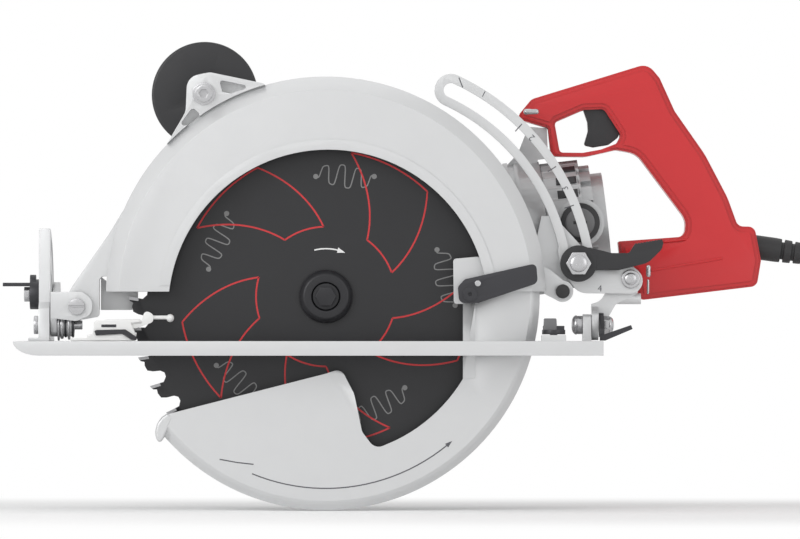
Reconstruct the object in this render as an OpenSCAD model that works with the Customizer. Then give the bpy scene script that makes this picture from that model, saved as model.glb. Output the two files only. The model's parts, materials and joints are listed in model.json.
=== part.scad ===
// Worm drive circular saw with a 260 mm blade, as separate pieces in their working places.
// X runs from the toe of the foot to the rear handle, Y from the blade side to the motor side, Z up.
// The origin is on the underside of the sole, below the arbor, on the strip outside the blade.

/* [Blade and arbor] */
// Diameter over the tooth tips
blade_d = 260; // [254:1:261]
// Thickness of the blade's plate
plate_t = 1.8; // [1.6:0.1:2.2]
// Width of the cut that the carbide tips make
kerf = 2.6; // [2.4:0.1:3]
// Number of teeth
teeth = 40; // [24:4:48]
// Bore of the blade and diameter of the arbor's seat
seat_d = 16; // [14:1:18]
// Height of the arbor above the underside of the sole
arbor_z = 38.8; // [38:0.2:40]
// Distance of the blade's plane from the origin
blade_y = 30; // [28:1:32]
// Diameter of the outer clamping flange
flange_d = 35; // [32:1:38]
// Thickness of the outer clamping flange
flange_t = 7; // [6:0.5:8]
// Thickness of the inner clamping flange
inner_flange_t = 3.4; // [3:0.2:4]
// Size across the flats of the blade bolt's head
bolt_af = 12; // [11:0.5:13]

/* [Gears and motor] */
// Module of the worm and wheel
gear_module = 2.5; // [2.4:0.05:2.5]
// Teeth on the worm wheel
wheel_teeth = 16; // [16:1:17]
// Threads on the worm
worm_starts = 3; // [2:1:3]
// Pitch radius of the worm
worm_r = 9.5; // [9.2:0.1:10]
// Width of the worm wheel
wheel_w = 12; // [9:1:13]
// Angle by which the motor's axis rises to the rear
motor_tilt = 6.5; // [6:0.25:7]
// Distance of the motor's axis from the blade's plane
motor_out = 59; // [58:0.5:60]
// Radius of the motor housing
motor_r = 44; // [43:0.5:45]
// Wall of the motor housing
motor_wall = 3; // [2.5:0.25:3.5]
// Radius of the armature's laminated core
core_r = 22; // [20:0.5:23]
// Air gap between the core and the field
air_gap = 0.8; // [0.6:0.1:1.2]
// Radius of the motor's and worm's shaft
shaft_r = 5; // [4.5:0.25:5.5]
// Radius of the commutator
commutator_r = 13; // [12:0.5:14]
// Blades on the cooling fan
fan_blades = 9; // [7:1:11]

/* [Guards] */
// Outer radius of the upper guard about the arbor
guard_r = 144.5; // [144:0.25:146]
// Wall of the upper guard
guard_wall = 2.8; // [2.4:0.2:2.8]
// Radius of the flat front face of the upper guard
guard_face_r = 135.5; // [134:0.5:137]
// Radius of the window in the upper guard's face
window_r = 105; // [104:0.5:106]
// Running gap between the two guards
guard_gap = 1.2; // [1:0.1:1.4]
// Wall of the lower guard
lower_wall = 2.2; // [1.8:0.1:2.4]
// Length of the guard's lift lever
lift_lever_l = 50; // [48:1:51]

/* [Foot] */
// Length of the foot behind the arbor
foot_rear = 181.6; // [180:0.4:184]
// Length of the foot in front of the arbor, to the toe's tip
foot_front = 204; // [202:1:206]
// Width of the foot
foot_w = 176; // [172:1:182]
// Height of the foot's edges
foot_h = 9.5; // [9:0.25:9.75]
// Thickness of the foot's web
foot_web = 4; // [3:0.5:5]
// Width of the strip outside the blade's slot
strip_w = 29; // [27:1:30]

/* [Depth and bevel] */
// Place of the depth pivot before the arbor
pivot_x = -163.7; // [-164.2:0.1:-163.2]
// Height of the depth pivot above the underside of the sole
pivot_z = 32.1; // [31.6:0.1:32.6]
// Greatest angle of the depth hinge
depth_max = 26; // [20:1:26]
// Greatest angle of the bevel hinges
bevel_max = 50; // [45:1:50]
// Height of the bevel axis above the underside of the sole
bevel_z = 20.1; // [19.8:0.1:20.4]
// Radius of the bevel quadrant's slot
quadrant_r = 57; // [55:0.5:58]
// Width of the depth arm
arm_w = 21.5; // [20:0.5:22]
// Thickness of the depth arm
arm_t = 3.6; // [3:0.2:4]
// Radius of the depth lock bolt
lock_r = 4; // [3.5:0.25:4]
// Clearance of the depth arm's slot about its bolt
slot_gap = 0.7; // [0.5:0.1:0.8]

/* [Handle and cord] */
// Half of the rear handle's width
handle_half = 17; // [16:0.5:18]
// Wall of the rear handle's shells
handle_wall = 3; // [2.5:0.25:3.5]
// Diameter of the second handle's disc
disc_d = 70; // [66:1:72]
// Diameter of the second handle's grip
grip_d = 32; // [30:1:34]
// Length of the second handle's grip
grip_l = 100; // [95:1:105]
// Diameter of the power cord
cord_d = 9.5; // [9:0.25:9.5]
// Turns in each of the two layers of the cord's coil
coil_turns = 3; // [2:1:3]

/* [Hidden] */
$fn = 96;

// Clearances that repeat: a running fit, a seat between fixed pieces, and a free gap
run = 0.05;
free = 0.4;
cut = 1;

// Colours
magnesium = [0.83, 0.84, 0.85];
steel = [0.62, 0.63, 0.64];
dark_steel = [0.2, 0.2, 0.21];
black = [0.09, 0.09, 0.1];
red = [0.8, 0.07, 0.07];
brass = [0.75, 0.6, 0.3];
copper = [0.72, 0.4, 0.2];
white = [0.93, 0.93, 0.92];

/* Helpers: solids along Y and X, plates, and outlines with round corners */
module along_y(r, y0, y1, x = 0, z = 0, sides = 96)
  translate([x, y0, z]) rotate([-90, 0, 0]) cylinder(r = r, h = y1 - y0, $fn = sides);

module along_x(r, x0, x1, y = 0, z = 0, sides = 96)
  translate([x0, y, z]) rotate([0, 90, 0]) cylinder(r = r, h = x1 - x0, $fn = sides);

module plate_y(y0, y1)
  translate([0, y1, 0]) rotate([90, 0, 0]) linear_extrude(y1 - y0) children();

module plate_x(x0, x1)
  translate([x0, 0, 0]) rotate([90, 0, 90]) linear_extrude(x1 - x0) children();

module turned_y(x = 0, z = 0)
  translate([x, 0, z]) rotate([-90, 0, 0]) rotate_extrude() children();

function unit(v) = v / norm(v);
function xy(p) = [p[0], p[1]];
// The arc that rounds corner p = [x, y, radius] between its neighbours a and b
function corner(a, p, b, n) =
  let(
    u = unit(xy(a) - xy(p)),
    v = unit(xy(b) - xy(p)),
    half = acos(max(-1, min(1, u * v))) / 2,
    room = 0.49 * min(norm(xy(a) - xy(p)), norm(xy(b) - xy(p))),
    t = min(p[2] / tan(half), room),
    r = t * tan(half),
    c = xy(p) + unit(u + v) * r / sin(half),
    s = atan2((xy(p) + u * t - c)[1], (xy(p) + u * t - c)[0]),
    e = atan2((xy(p) + v * t - c)[1], (xy(p) + v * t - c)[0]),
    d = ((e - s + 900) % 360) - 180
  )
  p[2] < 0.05 || half > 89.5
    ? [xy(p)]
    : [for (i = [0:n]) c + r * [cos(s + d * i / n), sin(s + d * i / n)]];
// An outline whose corners are given as [x, y, radius]
function rounded(p, n = 5) =
  [for (i = [0:len(p) - 1])
    each corner(p[(i + len(p) - 1) % len(p)], p[i], p[(i + 1) % len(p)], n)];
// Points on an arc about c from angle a to angle b
function arc(c, r, a, b, n = 24) =
  [for (i = [0:n]) c + r * [cos(a + (b - a) * i / n), sin(a + (b - a) * i / n)]];
// A band of a given width along an arc, with round ends, in the plane of the drawing
module arc_band(c, r, w, a, b, n = 24) {
  polygon(concat(arc(c, r + w / 2, a, b, n), arc(c, r - w / 2, b, a, n)));
  translate(c + r * [cos(a), sin(a)]) circle(d = w, $fn = 32);
  translate(c + r * [cos(b), sin(b)]) circle(d = w, $fn = 32);
}

// Y of a distance b behind the blade's plane
function at(b) = blade_y + b;
function polar(r, a) = [r * cos(a), arbor_z + r * sin(a)];
arbor = [0, arbor_z];
blade_r = blade_d / 2;
tooth_pitch = 360 / teeth;
seat_r = seat_d / 2;

/* Blade group: it turns clockwise as seen from the blade side, so each tip leads to lower angles */
tooth_h = 12.6;
// One tooth as [depth below the tips, part of the pitch after the tip]
TOOTH = [
  [0, 0], [0.9, 0.14], [3.1, 0.2], [2.3, 0.32], [2.8, 0.5], [6, 0.6], [10.6, 0.68],
  [tooth_h, 0.8], [12.2, 0.95], [9.4, 1.08]
];
TIP = [[-0.01, 0], [0.5, 0.1], [6.6, 0.15], [6.6, 0.06]];
function tooth_points(shape, i) =
  [for (p = shape) polar(blade_r - p[0], (i + p[1]) * tooth_pitch)];

module saw_blade() color(dark_steel) difference() {
  union() {
    plate_y(at(-plate_t / 2), at(plate_t / 2))
      polygon([for (i = [0:teeth - 1]) each tooth_points(TOOTH, i)]);
    for (i = [0:teeth - 1])
      plate_y(at(-kerf / 2), at(kerf / 2)) polygon(tooth_points(TIP, i));
  }
  along_y(seat_r, at(-cut), at(cut), 0, arbor_z);
}

outer_y = at(-plate_t / 2);
inner_y = at(plate_t / 2);
flange_dome = 3;
bolt_r = 5;
bolt_recess_r = 9.2;
bolt_recess = 2.5;
module outer_flange() color(dark_steel) difference() {
  turned_y(0, arbor_z) polygon([
    [seat_r + run, outer_y], [flange_d / 2, outer_y], [flange_d / 2, outer_y - flange_t + flange_dome],
    [flange_d / 2 - flange_dome, outer_y - flange_t], [bolt_recess_r, outer_y - flange_t],
    [bolt_recess_r, outer_y - flange_t + bolt_recess], [bolt_r + run, outer_y - flange_t + bolt_recess],
    [bolt_r + run, outer_y - 3], [seat_r + run, outer_y - 3]
  ]);
}
inner_flange_r = flange_d / 2;
module inner_flange() color(steel) turned_y(0, arbor_z) polygon([
  [seat_r + run, inner_y], [inner_flange_r, inner_y], [inner_flange_r, inner_y + inner_flange_t],
  [seat_r + run, inner_y + inner_flange_t]
]);

head_y = outer_y - flange_t + bolt_recess;
bolt_head = 7;
module blade_bolt() color(dark_steel) {
  along_y(bolt_r - run, head_y, at(22), 0, arbor_z, 48);
  along_y(8.6, head_y - 1.5, head_y, 0, arbor_z, 48);
  along_y(bolt_af / 2 / cos(30), head_y - bolt_head, head_y - 1.5, 0, arbor_z, 6);
}

// The arbor's stations behind the blade: front bearing, wheel, rear bearing
shoulder_y = inner_y + inner_flange_t;
front_bearing = [at(15), at(26)];
wheel_y = at(motor_out);
rear_bearing = [at(72), at(81)];
front_bearing_r = 19;
rear_bearing_r = 15;
front_seat_r = 8.5;
wheel_seat_r = 9;
rear_seat_r = 7.5;
lock_disc_r = 21;
lock_disc_y = [at(69), at(71.5)];
lock_ring = 19.2;
module arbor_shaft() color(steel) difference() {
  union() {
    along_y(seat_r - run, outer_y - 2.6, shoulder_y, 0, arbor_z);
    along_y(11, shoulder_y, at(14), 0, arbor_z);
    along_y(front_seat_r, at(14), at(30), 0, arbor_z);
    along_y(12, at(30), wheel_y - wheel_w / 2, 0, arbor_z);
    along_y(wheel_seat_r, wheel_y - wheel_w / 2, at(68), 0, arbor_z);
    along_y(rear_seat_r, at(68), at(80.8), 0, arbor_z);
    along_y(lock_disc_r, lock_disc_y[0], lock_disc_y[1], 0, arbor_z);
  }
  along_y(bolt_r, outer_y - 4, at(24), 0, arbor_z, 48);
  // notches for the spindle lock's pin
  for (a = [0:45:315]) {
    p = polar(lock_ring, a);
    along_y(spindle_pin_r + free, lock_disc_y[0] - cut, lock_disc_y[1] + run, p[0], p[1], 32);
  }
}

pitch_r = gear_module * wheel_teeth / 2;
centre_distance = pitch_r + worm_r;
lead_angle = atan(worm_starts * gear_module / (2 * worm_r));
tooth_half = 0.32 * gear_module;
wheel_tip_r = pitch_r + 0.8 * gear_module;
wheel_root_r = pitch_r - gear_module;
// The outline of the wheel: slim teeth that lean with the worm's lead
module wheel_outline() {
  circle(r = wheel_root_r, $fn = 64);
  for (i = [0:wheel_teeth - 1]) rotate((i + 0.5) * 360 / wheel_teeth)
    polygon([
      [wheel_root_r - 1, -tooth_half * 1.6], [wheel_tip_r, -tooth_half * 0.6],
      [wheel_tip_r, tooth_half * 0.6], [wheel_root_r - 1, tooth_half * 1.6]
    ]);
}
wheel_twist = wheel_w * tan(lead_angle) / pitch_r * 180 / PI;
module worm_wheel() color(brass) difference() {
  translate([0, wheel_y, arbor_z]) rotate([90, 0, 0]) rotate(90)
    linear_extrude(wheel_w, center = true, twist = wheel_side * wheel_twist, slices = 6)
      wheel_outline();
  along_y(wheel_seat_r + run, at(0), at(90), 0, arbor_z);
}
wheel_side = 1;

// The motor's axis: its own frame has X along the axis and its origin at the worm
worm_at = [
  -centre_distance * sin(motor_tilt), at(motor_out), arbor_z + centre_distance * cos(motor_tilt)
];
module on_motor() translate(worm_at) rotate([0, -motor_tilt, 0]) children();

worm_half = 20;
worm_lead = worm_starts * gear_module * PI;
worm_root_r = worm_r - gear_module;
worm_tip_r = worm_r + 0.8 * gear_module;
thread_half = 8;
module worm_outline() {
  circle(r = worm_root_r, $fn = 24);
  for (i = [0:worm_starts - 1]) rotate(i * 360 / worm_starts + thread_phase)
    polygon([
      [worm_root_r - 1, -4],
      for (a = [-1, 1]) worm_tip_r * [cos(a * thread_half * 1.6), sin(a * thread_half * 1.6)],
      [worm_root_r - 1, 4]
    ]);
}
thread_phase = 15;
worm_hand = 1;

// Stations along the motor's axis
nose_bearing = [-36, -26];
mid_bearing = [36, 46];
fan_at = [58, 70];
core_at = [84, 136];
commutator_at = [156, 178];
tail_bearing = [182, 189];
nose_bearing_r = 13;
mid_bearing_r = 16;
tail_bearing_r = 13;
module armature_shaft() color(steel) on_motor() {
  along_x(shaft_r, nose_bearing[0], -worm_half);
  along_x(shaft_r, worm_half, tail_bearing[1]);
  rotate([0, 90, 0]) linear_extrude(
    2 * worm_half, center = true, twist = worm_hand * 360 * 2 * worm_half / worm_lead, slices = 24
  ) worm_outline();
}
module armature_core() color(steel) on_motor() difference() {
  along_x(core_r, core_at[0], core_at[1]);
  along_x(shaft_r + run, core_at[0] - cut, core_at[1] + cut);
}
winding_l = 9;
module armature_windings() color(copper) on_motor()
  for (x = [core_at[0] - winding_l - run, core_at[1] + run]) difference() {
    along_x(core_r - 2.5, x, x + winding_l);
    along_x(shaft_r + run, x - cut, x + winding_l + cut);
  }
module commutator() color(copper) on_motor() difference() {
  along_x(commutator_r, commutator_at[0], commutator_at[1]);
  along_x(shaft_r + run, commutator_at[0] - cut, commutator_at[1] + cut);
}
fan_r = 36;
module cooling_fan() color(black) on_motor() difference() {
  union() {
    along_x(fan_r, fan_at[0], fan_at[0] + 2);
    along_x(shaft_r + 5, fan_at[0], fan_at[1]);
    for (i = [0:fan_blades - 1]) rotate([i * 360 / fan_blades, 0, 0])
      translate([fan_at[0] + 1, -1, shaft_r + 3]) cube([fan_at[1] - fan_at[0] - 1, 2, fan_r - shaft_r - 4]);
  }
  along_x(shaft_r + run, fan_at[0] - cut, fan_at[1] + cut);
}

module bearing(r_out, r_in, x0, x1) difference() {
  along_x(r_out, x0, x1);
  along_x(r_in, x0 - cut, x1 + cut);
}
module shaft_bearings() color(steel) {
  for (b = [
    [front_bearing, front_bearing_r, front_seat_r], [rear_bearing, rear_bearing_r, rear_seat_r]
  ]) difference() {
    along_y(b[1], b[0][0], b[0][1], 0, arbor_z);
    along_y(b[2] + run, b[0][0] - cut, b[0][1] + cut, 0, arbor_z);
  }
  on_motor() {
    bearing(nose_bearing_r, shaft_r + run, nose_bearing[0], nose_bearing[1]);
    bearing(mid_bearing_r, shaft_r + run, mid_bearing[0], mid_bearing[1]);
    bearing(tail_bearing_r, shaft_r + run, tail_bearing[0], tail_bearing[1]);
  }
}

/* Upper guard: half a drum, open below, with a round window and a lug to the front pivot */
front_y = at(-19);
back_y = at(13);
window = [1.6, 30.1];
guard_cut_z = 42;
face_t = 2.8;
back_t = 2.6;
guard_in_r = guard_r - guard_wall;
bevel_y = at(-10);
hub_hole_r = 36;
hub_ring_r = 46;
housing_low_z = 11.6;
lip_w = 6.6;
lip_h = 0.8;
lug_half = 6.6;
pivot = [pivot_x, pivot_z];
pivot_r = 5;
lock_at = [166.1, 60.5];
lock_lug_y = [at(8.2), back_y];
GUARD_SHELL = [
  [0, front_y], [guard_face_r, front_y], [guard_r, bevel_y], [guard_r, back_y], [0, back_y]
];
GUARD_HOLLOW = [
  [0, front_y + face_t], [guard_face_r - 1, front_y + face_t], [guard_in_r, bevel_y + 1],
  [guard_in_r, back_y - back_t], [0, back_y - back_t]
];
LUG = rounded([
  [-128, 104, 1], [-142.6, 80, 6], [-166.5, 46, 9], [-174, 32, 9], [-163.7, 23, 9],
  [-149, 25.6, 3], [-149, 52, 3], [-134.3, 52, 3], [-134.3, 43.8, 1], [-116, 42, 1], [-116, 90, 1]
]);
screw_r = 2;
screw_ring = 41;
screw_angles = [0, 60, 120, 180];
screw_head_r = 3.6;
screw_head_h = 1.5;

module upper_guard() color(magnesium) {
  difference() {
    union() {
      difference() {
        turned_y(0, arbor_z) polygon(GUARD_SHELL);
        turned_y(0, arbor_z) polygon(GUARD_HOLLOW);
        along_y(window_r, front_y - cut, front_y + face_t + cut, window[0], window[1]);
        translate([-guard_r - cut, front_y - cut, -guard_r])
          cube([2 * guard_r + 2 * cut, back_y - front_y + 2 * cut, guard_r + guard_cut_z]);
      }
      difference() {
        along_y(window_r + lip_w, front_y - lip_h, front_y + 0.5, window[0], window[1]);
        along_y(window_r, front_y - cut, front_y + cut, window[0], window[1]);
        translate([-guard_r, front_y - cut - lip_h, -guard_r])
          cube([2 * guard_r, 4, guard_r + guard_cut_z + 4]);
      }
      intersection() {
        along_y(hub_ring_r, back_y - back_t, back_y, 0, arbor_z);
        translate([-hub_ring_r, at(0), housing_low_z]) cube([2 * hub_ring_r, 30, 2 * hub_ring_r]);
      }
      plate_y(back_y - back_t, back_y) polygon([
        [-148.5, 30], [-128, 30], [-124, 34], [-124, guard_cut_z + 2], [-guard_r + 6, guard_cut_z + 2],
        [-148.5, 52]
      ]);
      difference() {
        plate_y(at(-lug_half), at(lug_half)) polygon(LUG);
        along_y(guard_in_r, at(-lug_half - cut), at(lug_half + cut), 0, arbor_z);
      }
      plate_y(lock_lug_y[0], lock_lug_y[1]) difference() {
        union() {
          translate(lock_at) circle(r = 12);
          polygon([[138, 74], [142, 92], [150, 92], [168, 72.4], [172, 50], [157.5, 42], [141, 42]]);
        }
        translate(arbor) circle(r = guard_r - 1);
      }
      plate_y(bumper_lug_y[0], bumper_lug_y[1]) difference() {
        union() {
          translate(bumper_at) circle(r = 7);
          polygon([[141, 60], [148, 56], [159.8, 46.4], [151.5, 36.6], [141, 42]]);
        }
        translate(arbor) circle(r = guard_r - 1);
      }
    }
    along_y(hub_hole_r, at(0), back_y + cut, 0, arbor_z);
    along_y(pivot_r + run, at(-lug_half - cut), at(lug_half + cut), pivot[0], pivot[1]);
    along_y(lock_r, lock_lug_y[0] - cut, back_y + cut, lock_at[0], lock_at[1]);
    along_y(bumper_pin_r, bumper_lug_y[0] - cut, bumper_lug_y[1] + cut, bumper_at[0], bumper_at[1]);
    for (a = screw_angles) {
      p = polar(screw_ring, a);
      along_y(screw_r + 0.2, at(9), back_y + cut, p[0], p[1], 32);
      along_y(screw_head_r + 0.1, at(9), back_y - back_t + screw_head_h, p[0], p[1], 32);
    }
  }
}

// Rubber stop for the lower guard, on a pin through the guard's rear end
bumper_at = [155.7, 42.2];
bumper_pin_r = 2.5;
bumper_r = 4.6;
bumper_lug_y = [at(-3), at(3.4)];
module guard_bumper() color(black) {
  along_y(bumper_r, at(-8), bumper_lug_y[0], bumper_at[0], bumper_at[1], 48);
  along_y(bumper_pin_r - run, bumper_lug_y[0], bumper_lug_y[1], bumper_at[0], bumper_at[1], 32);
}

/* Lower guard: a drum sector that turns about the gear housing's boss */
lower_r = guard_in_r - guard_gap;
lower_front = [at(-14), at(-14) + lower_wall];
lower_back = [at(7), at(7) + lower_wall];
boss_r = 24;
boss_y = at(3);
hub_r = 33;
lip_angle = 218.7;
rear_angle = 5;
post_at = [91, 40.2];
post_r = 3.4;
// The edge of the front wall from the leading lip over the lobe to the rear tab
opening_r = 105;
LOBE = rounded(concat(
  [
    [-103.2, -38.3, 0], [0.3, -11.8, 5], [10, -8.5, 6], [18.6, -25.1, 8], [23.8, -50, 6],
    [32.4, -61.5, 7]
  ],
  [for (a = [-64:3:-31]) concat(polar(opening_r, a), [0])],
  [[90.5, 33.9, 1], [84, 34, 2], [83.6, 63.5, 2], [101, 65, 2], [106, 49, 0]]
));
lower_bevel = 6.2;
lower_face_r = lower_r - lower_bevel;
rim_back = lower_back[1] + 0.3;
// The walls stop a little short of the rim's two ends
wall_from = rear_angle - 0.4;
wall_to = lip_angle - 359.6;
LOWER_RIM = [
  [lower_face_r - 1, lower_front[0]], [lower_face_r, lower_front[0]],
  [lower_r, lower_front[0] + lower_bevel], [lower_r, rim_back],
  [lower_r - lower_wall, rim_back], [lower_r - lower_wall, lower_front[0] + lower_bevel + 0.9],
  [lower_face_r - 1, lower_front[1]]
];
function sector(r, a, b, n = 48) = arc(arbor, r, a, b, n);
module lower_guard() color(magnesium) difference() {
  union() {
    // front wall
    plate_y(lower_front[0], lower_front[1])
      polygon(concat(LOBE, sector(lower_face_r - 0.1, wall_from, wall_to)));
    // rim
    translate([0, 0, arbor_z]) rotate([0, -rear_angle, 0]) rotate([-90, 0, 0])
      rotate_extrude(angle = rear_angle + 360 - lip_angle) polygon(LOWER_RIM);
    // back wall and hub
    plate_y(lower_back[0], lower_back[1])
      polygon(concat([[0, arbor_z]], sector(lower_r - 0.4, wall_from, wall_to)));
    along_y(hub_r, lower_back[0], back_y - free, 0, arbor_z);
    // rolled rear edge and leading lip
    plate_y(lower_front[0] - 1.6, lower_front[0]) polygon([[90, -15], [98, -15], [98, 34], [90, 34]]);
    lip = polar(lower_r - 1, lip_angle);
    along_y(2.6, lower_front[0], lower_back[1], lip[0], lip[1], 32);
  }
  along_y(boss_r + run, at(0), back_y, 0, arbor_z);
  along_y(post_r, lower_front[0] - cut, lower_front[1] + cut, post_at[0], post_at[1], 32);
}

// Lift lever outside the upper guard, on a post that passes through the window
lever_y = [front_y - 5, front_y - 1.2];
lever_out = post_at[0] + lift_lever_l;
module guard_lever() color(dark_steel) {
  difference() {
    union() {
      plate_y(lever_y[0], lever_y[1]) polygon(rounded([
        [91, 50, 4], [lever_out - 3, 60.5, 3], [lever_out - 2, 47.5, 4], [100, 34.5, 4], [87.5, 34.3, 4],
        [86.6, 45, 3]
      ]));
      along_y(4.6, lever_y[0] - 1, lever_y[1], 94.6, post_at[1], 48);
      along_y(post_r - run, lever_y[0], lower_front[1], post_at[0], post_at[1], 32);
    }
    along_y(1.3, lever_y[0] - 2, lever_y[0] + 1, 94.6, post_at[1], 24);
    for (s = LEVER_SCREWS) along_y(1.2, lever_y[0] - 2, lever_y[1] + 1, s[0], s[1], 24);
  }
}
LEVER_SCREWS = [[99.7, 47.3]];
module guard_lever_screws() color(steel) for (s = LEVER_SCREWS) {
  along_y(1.2 - run, lever_y[0], lever_y[1], s[0], s[1], 24);
  along_y(2, lever_y[0] - 1.2, lever_y[0], s[0], s[1], 32);
}

guard_ring_y = boss_y + 0.4;
module guard_ring() color(steel) difference() {
  along_y(boss_r + 5, guard_ring_y, guard_ring_y + 1, 0, arbor_z);
  along_y(boss_r + run, guard_ring_y - cut, guard_ring_y + 2, 0, arbor_z);
}
module guard_spring() color(steel) difference() {
  along_y(boss_r + 3, guard_ring_y + 1 + run, lower_back[0] - free, 0, arbor_z);
  along_y(boss_r + run, guard_ring_y, lower_back[0] + 1, 0, arbor_z);
}

/* Gear housing: a case round the wheel, a case round the worm, and the flange of the motor */
case_r = 30;
case_in_r = 25.5;
case_back = at(84);
worm_case_r = 24;
worm_case_in_r = 18;
motor_face = 50;
flange_u = [46, motor_face];
module above_foot(h = 200)
  intersection() {
    children();
    translate([-200, -50, housing_low_z]) cube([500, 300, h]);
  }
module gear_housing() color(magnesium) difference() {
  union() {
    above_foot() union() {
      along_y(hub_ring_r, back_y, at(19), 0, arbor_z);
      along_y(case_r, at(18), case_back, 0, arbor_z);
    }
    along_y(boss_r, boss_y, at(14), 0, arbor_z);
    on_motor() {
      along_x(worm_case_r, nose_bearing[0] - 4, flange_u[0]);
      along_x(motor_r, flange_u[0], flange_u[1]);
      // ribs from the worm case to the motor's flange
      for (a = [20, 90, 160]) rotate([a, 0, 0]) translate([8, worm_case_r - 3, -2.5])
        cube([flange_u[0] - 7, 14, 5]);
    }
  }
  // seats and hollows about the arbor
  along_y(front_bearing_r + run, front_bearing[0], front_bearing[1] + cut, 0, arbor_z);
  along_y(13, boss_y - cut, at(20), 0, arbor_z);
  along_y(inner_flange_r + 1, boss_y - cut, at(5), 0, arbor_z);
  along_y(case_in_r, front_bearing[1], case_back + cut, 0, arbor_z);
  // seats and hollows along the motor's axis
  on_motor() {
    along_x(nose_bearing_r + run, nose_bearing[0], nose_bearing[1] + cut);
    along_x(worm_case_in_r, nose_bearing[1], mid_bearing[0]);
    along_x(mid_bearing_r + run, mid_bearing[0] - cut, mid_bearing[1]);
    along_x(shaft_r + 4, mid_bearing[1] - cut, motor_face + cut);
  }
  for (a = screw_angles) {
    p = polar(screw_ring, a);
    along_y(screw_r, back_y - cut, at(17), p[0], p[1], 32);
  }
  for (a = cover_screws) {
    p = polar(cover_screw_ring, a);
    along_y(cover_screw_r, at(78), case_back + cut, p[0], p[1], 32);
  }
}

cover_t = 8;
cover_screw_ring = 27.7;
cover_screw_r = 1.4;
cover_screws = [30, 90, 150];
module gear_cover() color(magnesium) difference() {
  union() {
    above_foot() along_y(case_r, case_back, case_back + cover_t, 0, arbor_z);
    along_y(case_in_r - 0.1, at(76), case_back, 0, arbor_z);
    along_y(13, case_back + cover_t, case_back + cover_t + 2, 0, arbor_z);
  }
  along_y(spindle_pin_r + run, at(70), case_back + cover_t + cut, spindle_at[0], spindle_at[1], 32);
  for (a = cover_screws) {
    p = polar(cover_screw_ring, a);
    along_y(cover_screw_r + 0.1, case_back - cut, case_back + cover_t + cut, p[0], p[1], 32);
  }
  along_y(rear_bearing_r + run, at(76) - cut, rear_bearing[1] + run, 0, arbor_z);
  along_y(4, case_back - 2, case_back + cover_t + 3, 0, arbor_z, 48);
}
module oil_plug() color(dark_steel) {
  along_y(4 - run, case_back, case_back + cover_t + 2, 0, arbor_z, 48);
  along_y(8, case_back + cover_t + 2, case_back + cover_t + 6, 0, arbor_z, 6);
}

// Spindle lock: a sprung pin through the cover, with its button outside
spindle_at = [-lock_ring, arbor_z];
spindle_pin_r = 2;
spindle_travel = 3;
button_y = case_back + cover_t + spindle_travel + 1;
module spindle_lock() color(black) {
  along_y(spindle_pin_r, lock_disc_y[1] + 0.7, button_y + 1, spindle_at[0], spindle_at[1], 32);
  along_y(6, button_y, button_y + 6, spindle_at[0], spindle_at[1], 48);
}

/* Motor: housing, end cap, field and brush gear, along the motor's axis */
body_u = [motor_face, 150];
cap_u = [150, 187.5];
vent_w = 5;
vent_l = 24;
// Boss on the housing's top that carries the nose of the handle
NOSE_BOSS = [[112, 118], [139, 126], [140.5, 130.2], [147, 131], [146.2, 150.8], [134, 151.8], [127, 134]];
nose_boss_half = 9;
module motor_housing() color(magnesium) {
  difference() {
    plate_y(at(motor_out) - nose_boss_half, at(motor_out) + nose_boss_half) polygon(NOSE_BOSS);
    on_motor() along_x(motor_r - 1, body_u[0], cap_u[0] + 20);
  }
  motor_barrel();
}
module motor_barrel() on_motor() difference() {
  union() {
    along_x(motor_r, body_u[0], body_u[1]);
    // cooling ribs round the housing
    for (x = [body_u[0] + 34:7:body_u[1] - 12]) along_x(motor_r + 1.4, x, x + 3);
  }
  along_x(motor_r - motor_wall, body_u[0] - cut, body_u[1] + cut);
  for (a = [-60:30:240]) rotate([a, 0, 0])
    translate([fan_at[0] - 4, -vent_w / 2, motor_r - motor_wall - 2]) cube([vent_l, vent_w, 10]);
}
brush_u = cap_u[0] + 22;
brush_r = 8.5;
module motor_end_cap() color(black) on_motor() difference() {
  union() {
    along_x(motor_r - 2, cap_u[0], cap_u[1] - 14);
    along_x(motor_r - 6, cap_u[1] - 14, cap_u[1] - 5);
    along_x(motor_r - 12, cap_u[1] - 5, cap_u[1] + 3);
    for (s = [0, 1]) mirror([0, s, 0]) along_y(16, 26, cap_out, brush_u, 0);
  }
  along_x(motor_r - 2 - motor_wall, cap_u[0] - cut, cap_u[1] - 16);
  along_x(motor_r - 12, cap_u[0], cap_u[1] - 8);
  along_x(tail_bearing_r + run, cap_u[0], tail_bearing[1]);
  along_y(brush_r + run, -motor_r - 10, motor_r + 10, brush_u, 0);
  for (a = [0:24:359]) rotate([a, 0, 0]) translate([cap_u[1] - 15.5, -2.5, motor_r - 9.5])
    cube([12, 5, 6]);
}
field_r = motor_r - motor_wall;
module field_stator() color(steel) on_motor() difference() {
  along_x(field_r - run, core_at[0] - 4, core_at[1] + 4);
  along_x(core_r + air_gap, core_at[0] - 5, core_at[1] + 5);
}
holder_in = commutator_r + 2;
holder_end = 37;
brush_w = 4.5;
module brush_holders() color(brass) on_motor() for (s = [0, 1]) mirror([0, s, 0]) difference() {
  along_y(brush_r - run, holder_in, holder_end, brush_u, 0, 64);
  translate([brush_u - brush_w - run, holder_in - cut, -brush_w - run])
    cube([2 * brush_w + 2 * run, 60, 2 * brush_w + 2 * run]);
}
module carbon_brushes() color(black) on_motor() for (s = [0, 1]) mirror([0, s, 0])
  translate([brush_u - brush_w, commutator_r + 0.3, -brush_w]) cube([2 * brush_w, 21, 2 * brush_w]);
cap_out = motor_r - 1.2;
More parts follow.
